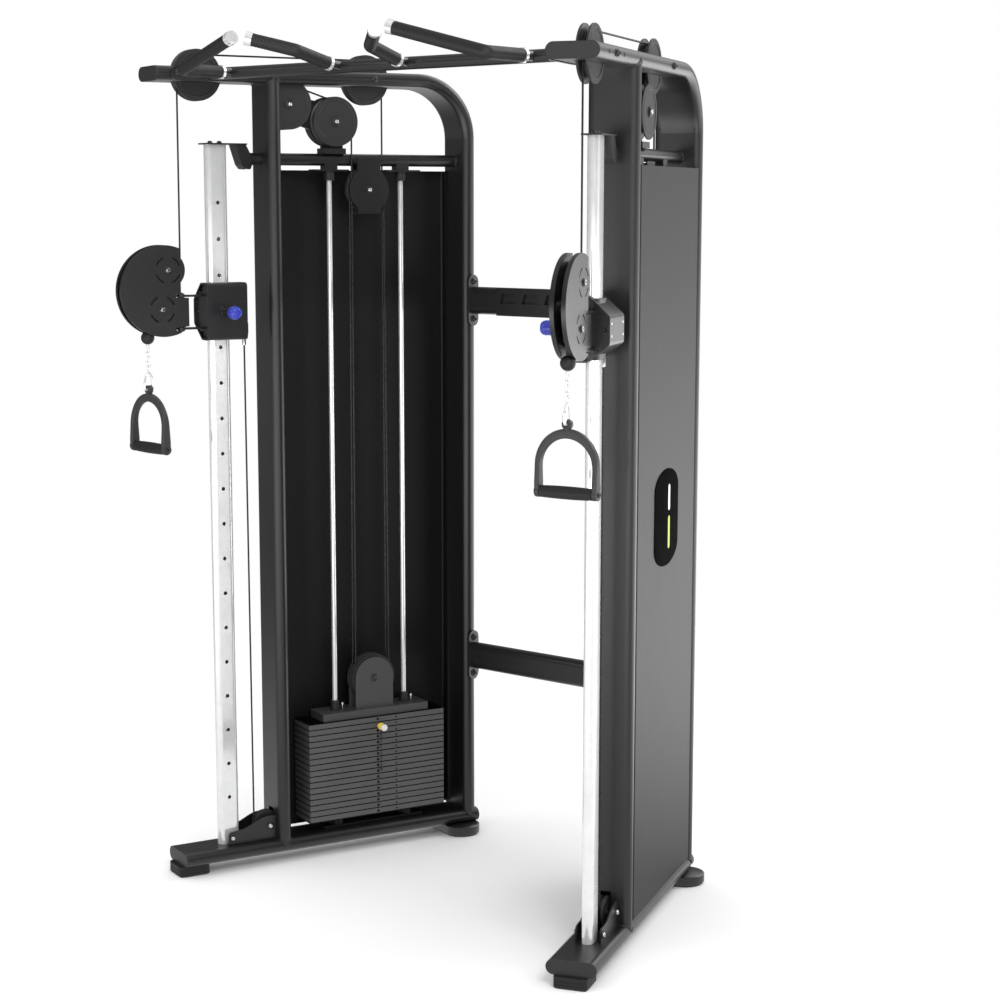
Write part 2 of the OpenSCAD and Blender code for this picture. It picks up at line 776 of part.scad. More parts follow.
// turned-in lip along the rim of a cheek
module head_lip(w0, w1) {
  side_plate(w0, w1) intersection() {
    difference() {
      translate(disc_c) circle(r = disc_r, $fn = 128);
      translate(disc_c) circle(r = disc_r - 4, $fn = 128);
    }
    translate([disc_c[0] - 200, disc_c[1] - 200]) square([218, 400]);
  }
}

module swivel_lips() {
  difference() {
    union() {
      head_lip(9, side_in + 1);
      head_lip(-side_in - 1, -9);
    }
    // room for the stop ball
    translate([0, hand_u, ball_z - 30]) cylinder(d = ball_d + 3, h = 70);
  }
}

module swivel_head() {
  difference() {
    union() {
      head_cheek(side_in);
      head_cheek(-side_in - side_t);
      swivel_lips();
      // pivot barrel and its web
      translate([0, pivot_u, 1569]) cylinder(r = 13.5, h = 81);
      box([-side_in - 1, pivot_u - 19, 1573], [side_in + 1, pivot_u - 6, 1648]);
      for (p = [up_c, low_c]) through_bolt(p[0], p[1], -side_in - side_t, side_in + side_t, axle_d, 17);
    }
    translate([0, pivot_u, 1500]) cylinder(d = pivot_d + 2 * run, h = 250);
  }
}

// ---------- cable end and handle ----------
module stop_ball() {
  difference() {
    translate([0, hand_u, ball_z]) sphere(d = ball_d, $fn = 64);
    translate([0, hand_u, ball_z + 4]) cylinder(d = cable_d + 0.4, h = 40);
    translate([0, hand_u, ball_z - 40]) cylinder(d = 9, h = 40);
  }
}

module chain_ring(z, a) {
  translate([0, hand_u, z]) rotate([0, 0, a]) rotate([90, 0, 0]) rotate_extrude($fn = 40)
    translate([8.2, 0]) circle(d = 3.2, $fn = 16);
}

module handle_chain() {
  translate([0, hand_u, ball_z - 22]) cylinder(d = 6, h = 21);
  translate([0, hand_u, ball_z - 25]) sphere(d = 10);
  for (i = [0 : 4]) chain_ring(ball_z - 34 - i * 13, i * 90 + 20);
  // snap link: bow, two legs and the pin through the handle's eye
  translate([0, hand_u, eye_z]) rotate([0, 0, handle_turn]) {
    across(0, 0, -17, 17, 8);
    for (s = [-1, 1]) {
      translate([s * 13.5, 0, -2]) cylinder(d = 7, h = 30);
      strut([s * 13.5, 0, 27], [0, 0, 46], 7);
      translate([s * 13.5, 0, 28]) sphere(d = 7);
    }
    translate([0, 0, 46]) sphere(d = 8);
  }
}

module handle_place() {
  translate([0, hand_u, eye_z]) rotate([0, 0, handle_turn]) children();
}

// outline of the bow that carries the roller: thick at the top, thin at the arms
module handle_bow(r, drop) {
  outer = r + arm_t;
  difference() {
    union() {
      circle(r = outer, $fn = 96);
      translate([-outer, -drop]) square([2 * outer, drop]);
    }
    translate([0, -10]) circle(r = r, $fn = 96);
    translate([-r, -drop - 1]) square([2 * r, drop - 9]);
    translate([-outer - 1, -drop - outer]) square([2 * outer + 2, outer]);
  }
}

module handle_frame() {
  r = handle_w / 2;
  top = -10 - r - arm_t;
  handle_place() {
    difference() {
      union() {
        across(0, 0, -7, 7, 25);
        box([-6, -9, -24], [6, 9, 0]);
        intersection() {
          translate([-20, 0, top]) rotate([90, 0, 90]) linear_extrude(40) handle_bow(r, top + 168);
          // side view: the arms are deeper at the roller
          translate([0, 150, 0]) rotate([90, 0, 0]) linear_extrude(300) polygon([[-6.5, 0], [6.5, 0],
            [8, -60], [13.5, -140], [13.5, -180], [-13.5, -180], [-13.5, -140], [-8, -60]]);
        }
        for (s = [0, 1]) mirror([0, s, 0]) along(0, -161, r, r + arm_t, 29);
      }
      across(0, 0, -20, 20, 8 + 2 * run);
    }
    along(0, -161, -r - 2, r + 2, 10);
  }
}

module handle_roller() {
  h = handle_w / 2 - 0.3;
  handle_place() translate([0, h, -161]) rotate([90, 0, 0]) rotate_extrude($fn = 64)
    polygon([[5 + run, 0], [13, 0], [14.5, 2], [14.5, 6], [roller_d / 2 - 0.4, h * 0.5],
      [roller_d / 2, h], [roller_d / 2 - 0.4, h * 1.5], [14.5, 2 * h - 6], [14.5, 2 * h - 2], [13, 2 * h],
      [5 + run, 2 * h]]);
}

// ---------- cable ----------
// piece of cable wound on a pulley, from angle a0 over the sweep, in the u-z plane
module wrap(p, w, r, a0, sweep) {
  translate([w, p[0], p[1]]) rotate([90, 0, 90]) rotate([0, 0, a0]) rotate_extrude(angle = sweep, $fn = 96)
    translate([r, 0]) circle(d = cable_d, $fn = 24);
}

// straight run whose ends meet the wound pieces in small beads
module run_line(a, b) {
  strut(part_way(a, b, 0.5), part_way(b, a, 0.5), cable_d);
  translate(a) sphere(d = cable_d + 0.3, $fn = 24);
  translate(b) sphere(d = cable_d + 0.3, $fn = 24);
}

function on(p, w, r, a) = [w, p[0] + r * cos(a), p[1] + r * sin(a)];

module cable() {
  lift_c = [stack_u, p_lift_z];
  r = pulley_rp;
  // hand end, through the swivel head
  drop = up_c - low_c;
  t = acos((up_rp + low_rp) / norm(drop));
  b = atan2(drop[1], drop[0]);
  run_line([0, hand_u, ball_z + 7], [0, hand_u, low_c[1]]);
  wrap(low_c, 0, low_rp, b + t, 180 - b - t);
  run_line(on(low_c, 0, low_rp, b + t), on(up_c, 0, up_rp, b + t - 180));
  wrap(up_c, 0, up_rp, b + t - 180, 180 - b - t);
  run_line([0, cable_u, up_c[1]], [0, p_front[0] - r, p_front[1]]);
  // over the top of the tower
  wrap(p_front, 0, r, 90, 90);
  run_line(on(p_front, 0, r, 90), on(p_back, 0, r, 90));
  wrap(p_back, 0, r, 0, 90);
  // four falls between the hanging and the lifting pulleys
  run_line(on(p_back, 0, r, 0), on(lift_c, 0, r, 0));
  wrap(lift_c, 0, r, 180, 180);
  run_line(on(lift_c, 0, r, 180), on(p_hang, hang_w, r, 180));
  wrap(p_hang, hang_w, r, 0, 180);
  run_line(on(p_hang, hang_w, r, 0), on(lift_c, -link_w, r, 0));
  wrap(lift_c, -link_w, r, 180, 180);
  run_line(on(lift_c, -link_w, r, 180), on(p_link_b, -link_w, r, 0));
  // forward over the link pulleys and down inside the front post
  dl = p_link_b - p_link_a;
  n = atan2(dl[1], dl[0]) + 90;
  wrap(p_link_b, -link_w, r, 0, n);
  run_line(on(p_link_b, -link_w, r, n), on(p_link_a, -link_w, r, n));
  wrap(p_link_a, -link_w, r, n, 180 - n);
  run_line(on(p_link_a, -link_w, r, 180), on(p_base, 0, base_rp, 0));
  wrap(p_base, 0, base_rp, 180, 180);
  run_line(on(p_base, 0, base_rp, 180), [0, tail_u, 1555]);
}

// ---------- handed parts ----------
module carriage_left() { color("#222326") left() carriage(); }
module carriage_right() { color("#222326") right() carriage(); }
module pop_pin_left() { color("#3340b8") left() pop_pin(); }
module pop_pin_right() { color("#3340b8") right() pop_pin(); }
module swivel_head_left() { color("#2b2c2f") left() swivel_head(); }
module swivel_head_right() { color("#2b2c2f") right() swivel_head(); }
module swivel_pulley_upper_left() { color("#1c1d1f") left() pulley_at(up_c, 0, up_rp + 4, up_rp, 24); }
module swivel_pulley_upper_right() { color("#1c1d1f") right() pulley_at(up_c, 0, up_rp + 4, up_rp, 24); }
module swivel_pulley_lower_left() { color("#1c1d1f") left() pulley_at(low_c, 0, low_rp + 4, low_rp, 24); }
module swivel_pulley_lower_right() { color("#1c1d1f") right() pulley_at(low_c, 0, low_rp + 4, low_rp, 24); }
module stop_ball_left() { color("#303134") left() stop_ball(); }
module stop_ball_right() { color("#303134") right() stop_ball(); }
module handle_chain_left() { color("#d9dbde") left() handle_chain(); }
module handle_chain_right() { color("#d9dbde") right() handle_chain(); }
module handle_frame_left() { color("#3a3b3e") left() handle_frame(); }
module handle_frame_right() { color("#3a3b3e") right() handle_frame(); }
module handle_roller_left() { color("#2a2b2d") left() handle_roller(); }
module handle_roller_right() { color("#2a2b2d") right() handle_roller(); }
module lift_head_left() { color("#2b2c2f") left() lift_head(); }
module lift_head_right() { color("#2b2c2f") right() lift_head(); }
module lift_plates_left() { color("#141416") left() lift_plates(); }
module lift_plates_right() { color("#141416") right() lift_plates(); }
module selector_pin_left() { color("#e6b422") left() selector_pin(); }
module selector_pin_right() { color("#e6b422") right() selector_pin(); }
module front_pulley() { pulley_at(p_front, 0, pulley_d / 2, pulley_rp, front_wide); }
module back_pulley() { pulley_at(p_back, 0, pulley_d / 2, pulley_rp, front_wide); }
module link_pulley(p) {
  for (s = [-1, 1]) pulley_at(p, s * link_w, pulley_d / 2 - 0.5, pulley_rp, link_wide);
}
module hanging_pulley() { pulley_at(p_hang, hang_w, hang_r, pulley_rp, 13); }
module lift_pulleys() {
  for (w = [0, -link_w]) pulley_at([stack_u, p_lift_z], w, pulley_d / 2, pulley_rp, 18.6);
}
module base_pulley() { pulley_at(p_base, 0, base_r, base_rp, 22); }
module front_pulley_left() { color("#2a2b2d") left() front_pulley(); }
module front_pulley_right() { color("#2a2b2d") right() front_pulley(); }
module back_pulley_left() { color("#2a2b2d") left() back_pulley(); }
module back_pulley_right() { color("#2a2b2d") right() back_pulley(); }
module link_pulley_a_left() { color("#2a2b2d") left() link_pulley(p_link_a); }
module link_pulley_a_right() { color("#2a2b2d") right() link_pulley(p_link_a); }
module link_pulley_b_left() { color("#2a2b2d") left() link_pulley(p_link_b); }
module link_pulley_b_right() { color("#2a2b2d") right() link_pulley(p_link_b); }
module hanging_pulley_left() { color("#2a2b2d") left() hanging_pulley(); }
module hanging_pulley_right() { color("#2a2b2d") right() hanging_pulley(); }
module lift_pulleys_left() { color("#2a2b2d") left() lift_pulleys(); }
module lift_pulleys_right() { color("#2a2b2d") right() lift_pulleys(); }
module base_pulley_left() { color("#2a2b2d") left() base_pulley(); }
module base_pulley_right() { color("#2a2b2d") right() base_pulley(); }
module cable_left() { color("#101012") left() cable(); }
module cable_right() { color("#101012") right() cable(); }

base_rails();
front_posts();
top_arches();
end_caps();
feet();
columns();
column_brackets();
head_tubes();
pulley_brackets();
guide_rods();
rod_collars();
shrouds();
badges();
crossbeams();
bolts();
pullup_bar();
grip_sleeves();
grip_caps();
weight_plates();
cable_left();
cable_right();
carriage_left();
carriage_right();
pop_pin_left();
pop_pin_right();
swivel_head_left();
swivel_head_right();
swivel_pulley_upper_left();
swivel_pulley_upper_right();
swivel_pulley_lower_left();
swivel_pulley_lower_right();
stop_ball_left();
stop_ball_right();
handle_chain_left();
handle_chain_right();
handle_frame_left();
handle_frame_right();
handle_roller_left();
handle_roller_right();
lift_head_left();
lift_head_right();
lift_plates_left();
lift_plates_right();
selector_pin_left();
selector_pin_right();
front_pulley_left();
front_pulley_right();
back_pulley_left();
back_pulley_right();
link_pulley_a_left();
link_pulley_a_right();
link_pulley_b_left();
link_pulley_b_right();
hanging_pulley_left();
hanging_pulley_right();
lift_pulleys_left();
lift_pulleys_right();
base_pulley_left();
base_pulley_right();
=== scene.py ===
"""Looks of the cable crossover machine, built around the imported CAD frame. Metres, +Z up, user side at -Y."""
import json
import math

import bmesh
import bpy
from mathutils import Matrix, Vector


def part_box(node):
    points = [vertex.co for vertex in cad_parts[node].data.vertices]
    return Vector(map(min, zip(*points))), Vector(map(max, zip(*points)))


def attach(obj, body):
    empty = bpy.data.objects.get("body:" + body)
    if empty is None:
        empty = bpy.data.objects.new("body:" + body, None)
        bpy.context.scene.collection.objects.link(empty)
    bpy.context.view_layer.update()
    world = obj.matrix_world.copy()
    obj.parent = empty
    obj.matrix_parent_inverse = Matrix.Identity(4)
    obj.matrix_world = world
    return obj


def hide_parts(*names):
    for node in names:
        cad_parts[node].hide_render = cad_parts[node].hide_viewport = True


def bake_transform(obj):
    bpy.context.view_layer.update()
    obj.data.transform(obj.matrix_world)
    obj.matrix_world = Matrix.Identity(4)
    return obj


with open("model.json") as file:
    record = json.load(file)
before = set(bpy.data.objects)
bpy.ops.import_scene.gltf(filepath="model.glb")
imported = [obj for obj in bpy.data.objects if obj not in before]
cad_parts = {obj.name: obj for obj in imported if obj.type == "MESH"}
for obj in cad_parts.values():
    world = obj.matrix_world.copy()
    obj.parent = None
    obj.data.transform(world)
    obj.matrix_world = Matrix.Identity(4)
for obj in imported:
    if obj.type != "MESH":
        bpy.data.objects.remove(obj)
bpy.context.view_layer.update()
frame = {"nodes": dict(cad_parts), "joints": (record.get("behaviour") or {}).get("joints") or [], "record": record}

SIDES = ("left", "right")
UP = Vector((0, 0, 1))
JOINTS = {joint["name"]: joint for joint in frame["joints"]}


# ---------- places, all worked out from the frame ----------
class Tower:
    """Axes of one tower: w runs outwards, u backwards, z up, with w = u = 0 on the column's centre line."""

    def __init__(self, side):
        self.side = side
        self.w = -Vector(JOINTS["selector_slide_" + side]["axis"]).normalized()
        self.u = UP.cross(self.w) * (1 if side == "right" else -1)
        pivot = Vector(JOINTS["head_swivel_" + side]["pos_m"])
        pin = [v.co.dot(self.u) for v in frame["nodes"]["pop_pin_" + side].data.vertices]
        self.origin = self.w * pivot.dot(self.w) + self.u * (min(pin) + max(pin)) / 2

    def at(self, w, u, z):
        return self.origin + self.w * w + self.u * u + UP * z

    def local(self, point):
        offset = Vector(point) - self.origin
        return Vector((offset.dot(self.w), offset.dot(self.u), offset.z))

    def joint(self, name):
        """Place of a joint of this side, in the tower's own axes."""
        return self.local(JOINTS[f"{name}_{self.side}"]["pos_m"])

    def box(self, node):
        """Lowest and highest w, u, z of this side's part of a node."""
        sign = 1 if self.side == "right" else -1
        points = [self.local(v.co) for v in frame["nodes"][node].data.vertices if v.co.x * sign > 0]
        return [(min(p[i] for p in points), max(p[i] for p in points)) for i in range(3)]


TOWERS = {side: Tower(side) for side in SIDES}

PULLEY_R = 0.055      # running radius of the large pulleys
UPPER_R = 0.044       # of the upper swivel pulley
LOWER_R = 0.038       # of the lower swivel pulley
BASE_R = 0.036        # of the base pulley
CABLE_R = 0.0025
LINK_W = 0.019        # the paired pulleys stand this far either side of the post
HANG_W = -0.0095
TUBE_T, TUBE_W = 0.040, 0.132
POST_U, REAR_U = 0.157, 0.777   # stations of the front and rear posts
REAR_FOOT_U = 0.750
HEAD_R = 0.017        # head tube
ROD_R = 0.0075        # guide rods
BALL_R = 0.0185       # stop ball
SLEEVE_R = 0.0165     # pull-up sleeves
BEAM_Y = 0.712        # crossbeams
CARRIAGE_FRONT = -0.0415   # face of the carriage towards the user
PLUG_U = 0.526        # row of plugs beside the selector holes
# root, bend and tip of each pull-up grip: x, y, and height above the pull-up bar
GRIPS = [((0.517, -0.099, 0.0), (0.519, -0.240, 0.0), (0.269, -0.299, 0.067)),
         ((0.117, -0.100, 0.005), (0.128, -0.213, 0.034), (0.220, -0.294, 0.063))]
ROUND_SQUARE = [(math.copysign(abs(math.cos(a)) ** 0.24, math.cos(a)),
                 math.copysign(abs(math.sin(a)) ** 0.24, math.sin(a)))
                for a in (2 * math.pi * (k + 0.5) / 48 for k in range(48))]


# ---------- mesh building ----------
def new_piece(name, verts, faces, body, finish, slot, smooth=40, blend=None):
    """A mesh from points in the row frame, with its material, riding on a body, or riding on none and staying in place
    when a blend is given.
    """
    mesh = bpy.data.meshes.new(name)
    mesh.from_pydata([tuple(v) for v in verts], [], faces)
    mesh.validate()
    piece = bpy.data.objects.new(name, mesh)
    bpy.context.scene.collection.objects.link(piece)
    mesh.materials.append(finish)
    face_outwards(mesh)
    shade(mesh, smooth)
    if blend:
        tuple(blend[1])
        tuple(blend[2])
        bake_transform(piece)
    else:
        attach(piece, body)
    return piece


def face_outwards(mesh):
    bm = bmesh.new()
    bm.from_mesh(mesh)
    bmesh.ops.recalc_face_normals(bm, faces=bm.faces)
    bm.to_mesh(mesh)
    bm.free()


def shade(mesh, degrees):
    mesh.polygons.foreach_set("use_smooth", [True] * len(mesh.polygons))
    mesh.set_sharp_from_angle(angle=math.radians(degrees))


def join(parts):
    """One list of points and faces from several."""
    verts, faces = [], []
    for part_verts, part_faces in parts:
        first = len(verts)
        verts += part_verts
        faces += [[first + i for i in face] for face in part_faces]
    return verts, faces


def loft(rings, closed=False, caps=True):
    """Skin over rings of equally many points."""
    n = len(rings[0])
    verts = [p for ring in rings for p in ring]
    faces = []
    for i in range(len(rings) if closed else len(rings) - 1):
        j = (i + 1) % len(rings)
        for k in range(n):
            m = (k + 1) % n
            faces.append([i * n + k, i * n + m, j * n + m, j * n + k])
    if caps and not closed:
        faces.append(list(range(n))[::-1])
        faces.append([(len(rings) - 1) * n + k for k in range(n)])
    return verts, faces


def directions(path, closed):
    n = len(path)
    out = []
    for i in range(n):
        a = path[i - 1] if closed or i > 0 else path[i]
        b = path[(i + 1) % n] if closed or i < n - 1 else path[i]
        out.append((b - a).normalized())
    return out


def sweep(path, section, closed=False, side_hint=None):
    """Skin of a section carried along a path. section(i) gives (across, up) offsets at station i."""
    tangents = directions(path, closed)
    normal = (side_hint or Vector((0.31, 0.77, 0.55))).cross(tangents[0]).normalized()
    rings = []
    for i, (point, tangent) in enumerate(zip(path, tangents)):
        normal = (normal - tangent * normal.dot(tangent)).normalized()
        other = tangent.cross(normal)
        rings.append([point + normal * a + other * b for a, b in section(i)])
    return loft(rings, closed)


def circle(r, n):
    return [(r * math.cos(a), r * math.sin(a)) for a in (2 * math.pi * k / n for k in range(n))]


def tube(path, r, n=12, closed=False):
    ring = circle(r, n)
    return sweep(path, lambda i: ring, closed)


def lathe(profile, place, n=40, closed=False):
    """Turned shape: profile is (radius, height) pairs; place(x, y, height) sets it down."""
    rings = [[place(r * math.cos(2 * math.pi * k / n), r * math.sin(2 * math.pi * k / n), h) for k in range(n)]
             for r, h in profile]
    return loft(rings, closed, caps=not closed)


def straight(a, b, steps):
    return [a.lerp(b, i / steps) for i in range(steps + 1)]


def arc(centre, r, a0, a1, steps, place):
    """Points round centre (u, z) from angle a0 to a1, in degrees."""
    angles = [math.radians(a0 + (a1 - a0) * i / steps) for i in range(steps + 1)]
    return [place(centre[0] + r * math.cos(a), centre[1] + r * math.sin(a)) for a in angles]


def filleted(points, r, steps=8):
    """The line through the points with its corners rounded."""
    path = [points[0]]
    for a, b, c in zip(points, points[1:], points[2:]):
        p, q = (a - b).normalized(), (c - b).normalized()
        reach = r / math.tan(p.angle(q) / 2)
        s, e = b + p * reach, b + q * reach
        path += [s.lerp(b, t).lerp(b.lerp(e, t), t) for t in [i / steps for i in range(steps + 1)]]
    return path + [points[-1]]


def chamfer(piece, width):
    """Cuts the sharp edges of a piece by a bevel."""
    bevel = piece.modifiers.new("edges", "BEVEL")
    bevel.width = width
    bevel.segments = 1
    bevel.limit_method = "ANGLE"
    bevel.angle_limit = math.radians(35)


# ---------- materials ----------
class Nodes:
    """Short way to build one material's nodes."""

    def __init__(self, name):
        self.material = bpy.data.materials.new(name)
        self.material.use_nodes = True
        self.tree = self.material.node_tree
        self.shader = self.tree.nodes["Principled BSDF"]

    def add(self, kind, **values):
        node = self.tree.nodes.new("ShaderNode" + kind)
        for key, value in values.items():
            setattr(node, key, value)
        return node

    def link(self, a, b):
        self.tree.links.new(a, b)

    def noise(self, scale, detail=2.0, rough=0.5, stretch=(1, 1, 1)):
        where = self.add("TexCoord").outputs["Object"]
        if tuple(stretch) != (1, 1, 1):
            mapping = self.add("Mapping")
            mapping.inputs["Scale"].default_value = stretch
            self.link(where, mapping.inputs["Vector"])
            where = mapping.outputs["Vector"]
        node = self.add("TexNoise")
        node.inputs["Scale"].default_value = scale
        node.inputs["Detail"].default_value = detail
        node.inputs["Roughness"].default_value = rough
        self.link(where, node.inputs["Vector"])
        return node.outputs["Fac"]

    def spread(self, value, low, high, a=0.3, b=0.7):
        node = self.add("MapRange")
        for key, number in (("From Min", a), ("From Max", b), ("To Min", low), ("To Max", high)):
            node.inputs[key].default_value = number
        self.link(value, node.inputs["Value"])
        return node.outputs["Result"]

    def mix(self, factor, a, b):
        node = self.add("Mix", data_type="RGBA")
        for socket, value in ((node.inputs[0], factor), (node.inputs[6], a), (node.inputs[7], b)):
            if hasattr(value, "is_output"):
                self.link(value, socket)
            else:
                socket.default_value = value
        return node.outputs[2]

    def edge(self, radius):
        """Near 1 on sharp edges, 0 on flat faces, with the rounded normal beside it."""
        bevel = self.add("Bevel", samples=4)
        bevel.inputs["Radius"].default_value = radius
        true = self.add("NewGeometry").outputs["Normal"]
        dot = self.add("VectorMath", operation="DOT_PRODUCT")
        self.link(bevel.outputs["Normal"], dot.inputs[0])
        self.link(true, dot.inputs[1])
        return self.spread(dot.outputs["Value"], 1.0, 0.0, 0.72, 0.99), bevel.outputs["Normal"]

    def level_lines(self, lowest, pitch, width):
        """1 on level lines at even heights, 0 between them."""
        place = self.add("SeparateXYZ")
        self.link(self.add("TexCoord").outputs["Object"], place.inputs["Vector"])
        value = place.outputs["Z"]
        for operation, number in (("SUBTRACT", lowest - pitch / 2), ("DIVIDE", pitch), ("FRACT", 0.0),
                                  ("SUBTRACT", 0.5), ("ABSOLUTE", 0.0)):
            step = self.add("Math", operation=operation)
            self.link(value, step.inputs[0])
            step.inputs[1].default_value = number
            value = step.outputs["Value"]
        half = width / pitch / 2
        return self.spread(value, 1.0, 0.0, half * 0.8, half * 1.2)

    def bump(self, height, strength, distance, normal=None):
        node = self.add("Bump")
        node.inputs["Strength"].default_value = strength
        node.inputs["Distance"].default_value = distance
        self.link(height, node.inputs["Height"])
        if normal is not None:
            self.link(normal, node.inputs["Normal"])
        return node.outputs["Normal"]


def shade_of(colour, factor):
    return tuple(min(1.0, c * factor) for c in colour[:3]) + (1,)


def coated(name, colour, rough, grain, depth, coat=0.0, wear=1.6, mottle=0.05, specular=0.5,
           gloss_drift=0.06, gap_shade_lines=None):
    """A surface with fine grain, slow colour drift, uneven gloss and lighter, worn edges.

    colour is linear; grain is texture cycles per metre; depth is the grain's height in metres.
    The last argument, (height of the lowest, pitch, width), paints shade into the gaps between stacked plates as dark
    level lines with their gloss taken away."""
    n = Nodes(name)
    fine = n.noise(grain, 3.0, 0.55)
    slow = n.noise(5.0, 3.0, 0.6)
    smear = n.noise(38.0, 4.0, 0.6, (1, 1, 0.35))
    worn, round_normal = n.edge(0.0012)
    body = n.mix(n.spread(slow, 0.0, 1.0), shade_of(colour, 1 - mottle), shade_of(colour, 1 + mottle))
    speck = n.mix(n.spread(fine, 0.0, 0.5), body, shade_of(colour, 1 + 2 * mottle))
    paint = n.mix(worn, speck, shade_of(colour, wear))
    specular_part = None
    # painted shade: dark level lines with almost no gloss stand for the shaded gaps between stacked plates
    if gap_shade_lines:
        dark = n.level_lines(*gap_shade_lines)
        paint = n.mix(dark, paint, shade_of(colour, 0.04))
        specular_part = n.spread(dark, specular, 0.02, 0.0, 1.0)
    n.link(paint, n.shader.inputs["Base Color"])
    n.link(n.spread(smear, rough * (1 - gloss_drift), rough * (1 + gloss_drift)), n.shader.inputs["Roughness"])
    n.shader.inputs["Specular IOR Level"].default_value = specular
    if specular_part is not None:
        n.link(specular_part, n.shader.inputs["Specular IOR Level"])
    n.shader.inputs["Coat Weight"].default_value = coat
    n.shader.inputs["Coat Roughness"].default_value = rough * 0.75
    n.link(n.bump(fine, 0.6, depth, round_normal), n.shader.inputs["Normal"])
    return n.material


def polished(name, colour, rough, streak=(60, 60, 1.2), metal=1.0):
    """Plated steel with drawn streaks and faint handling marks."""
    n = Nodes(name)
    lines = n.noise(9.0, 4.0, 0.65, streak)
    marks = n.noise(22.0, 5.0, 0.7)
    round_normal = n.edge(0.0008)[1]
    base = n.mix(n.spread(marks, 0.0, 1.0), shade_of(colour, 0.93), shade_of(colour, 1.05))
    n.link(base, n.shader.inputs["Base Color"])
    n.shader.inputs["Metallic"].default_value = metal
    n.link(n.spread(lines, rough * 0.7, rough * 1.5), n.shader.inputs["Roughness"])
    n.link(n.bump(lines, 0.12, 0.0002, round_normal), n.shader.inputs["Normal"])
    return n.material


def jacket(name, colour):
    """Nylon jacket over a stranded wire: a fine twisted relief."""
    n = Nodes(name)
    where = n.add("TexCoord").outputs["Object"]
    wave = n.add("TexWave", bands_direction="DIAGONAL")
    wave.inputs["Scale"].default_value = 140.0
    wave.inputs["Distortion"].default_value = 0.6
    n.link(where, wave.inputs["Vector"])
    n.shader.inputs["Base Color"].default_value = colour
    n.link(n.spread(n.noise(60.0), 0.22, 0.36), n.shader.inputs["Roughness"])
    n.link(n.bump(wave.outputs["Fac"], 0.15, 0.0002), n.shader.inputs["Normal"])
    return n.material


FINISH = {
    "powder_black": coated("powder_black", (0.0075, 0.0076, 0.0079), 0.38, 1150, 0.00012, coat=0.5),
    "shroud_black": coated("shroud_black", (0.0035, 0.0036, 0.0038), 0.56, 1500, 0.00005, coat=0.3, wear=1.5,
                           specular=0.25, gloss_drift=0.02),
    "chrome": polished("chrome", (0.95, 0.955, 0.96), 0.12, metal=0.55),
    "zinc_steel": polished("zinc_steel", (0.86, 0.87, 0.89), 0.22, streak=(25, 25, 25)),
    "black_plastic": coated("black_plastic", (0.022, 0.022, 0.023), 0.42, 2200, 0.00008, wear=1.9, mottle=0.08),
    "rubber": coated("rubber", (0.012, 0.012, 0.0125), 0.52, 2600, 0.00010, wear=1.4, specular=0.45),
    "iron_plate": coated("iron_plate", (0.055, 0.055, 0.056), 0.46, 620, 0.00025, wear=1.9, mottle=0.12),
    "cable_jacket": jacket("cable_jacket", (0.008, 0.008, 0.009, 1)),
    "blue_knob": coated("blue_knob", (0.030, 0.045, 0.42), 0.30, 1800, 0.00004, coat=0.4, wear=1.5, mottle=0.05),
    "yellow_pin": coated("yellow_pin", (0.80, 0.56, 0.04), 0.34, 1800, 0.00004, coat=0.3, wear=1.2, mottle=0.05),
    "badge_black": coated("badge_black", (0.0015, 0.0015, 0.0017), 0.60, 1500, 0.00002, wear=2.0, specular=0.004),
    "grip_nylon": coated("grip_nylon", (0.035, 0.035, 0.037), 0.44, 2000, 0.00012, wear=1.5),
}
ACCENT = coated("accent_lime", (0.52, 0.62, 0.02), 0.4, 1500, 0.00002, wear=1.1, mottle=0.04)
IVORY = coated("ivory_cap", (0.78, 0.78, 0.76), 0.35, 1500, 0.00003, coat=0.3, wear=1.05, mottle=0.03)
PIT = coated("dark_pit", (0.004, 0.004, 0.004), 0.7, 1500, 0.00003, wear=1.0)


def dress_cad_nodes():
    """Gives each node that stays the finish of its slot in the record."""
    for part in frame["record"]["subparts"]:
        node = frame["nodes"][part["node"]]
        node.data.materials.clear()
        node.data.materials.append(FINISH[part["material_slot"]])
    lifted = TOWERS["right"].box("lift_plates_right")[2]
    pitch = (lifted[1] - lifted[0]) / 2
    # the stacked plates get painted shade as dark lines in the gaps between them
    stacked = coated("iron_plate_edge", (0.078, 0.078, 0.079), 0.46, 620, 0.00025, wear=1.9, mottle=0.12,
                     gap_shade_lines=(lifted[0], pitch, 0.0030))
    for name in ("weight_plates", "lift_plates_left", "lift_plates_right"):
        node = frame["nodes"][name]
        chamfer(node, 0.0013)
        node.data.materials.clear()
        node.data.materials.append(stacked)


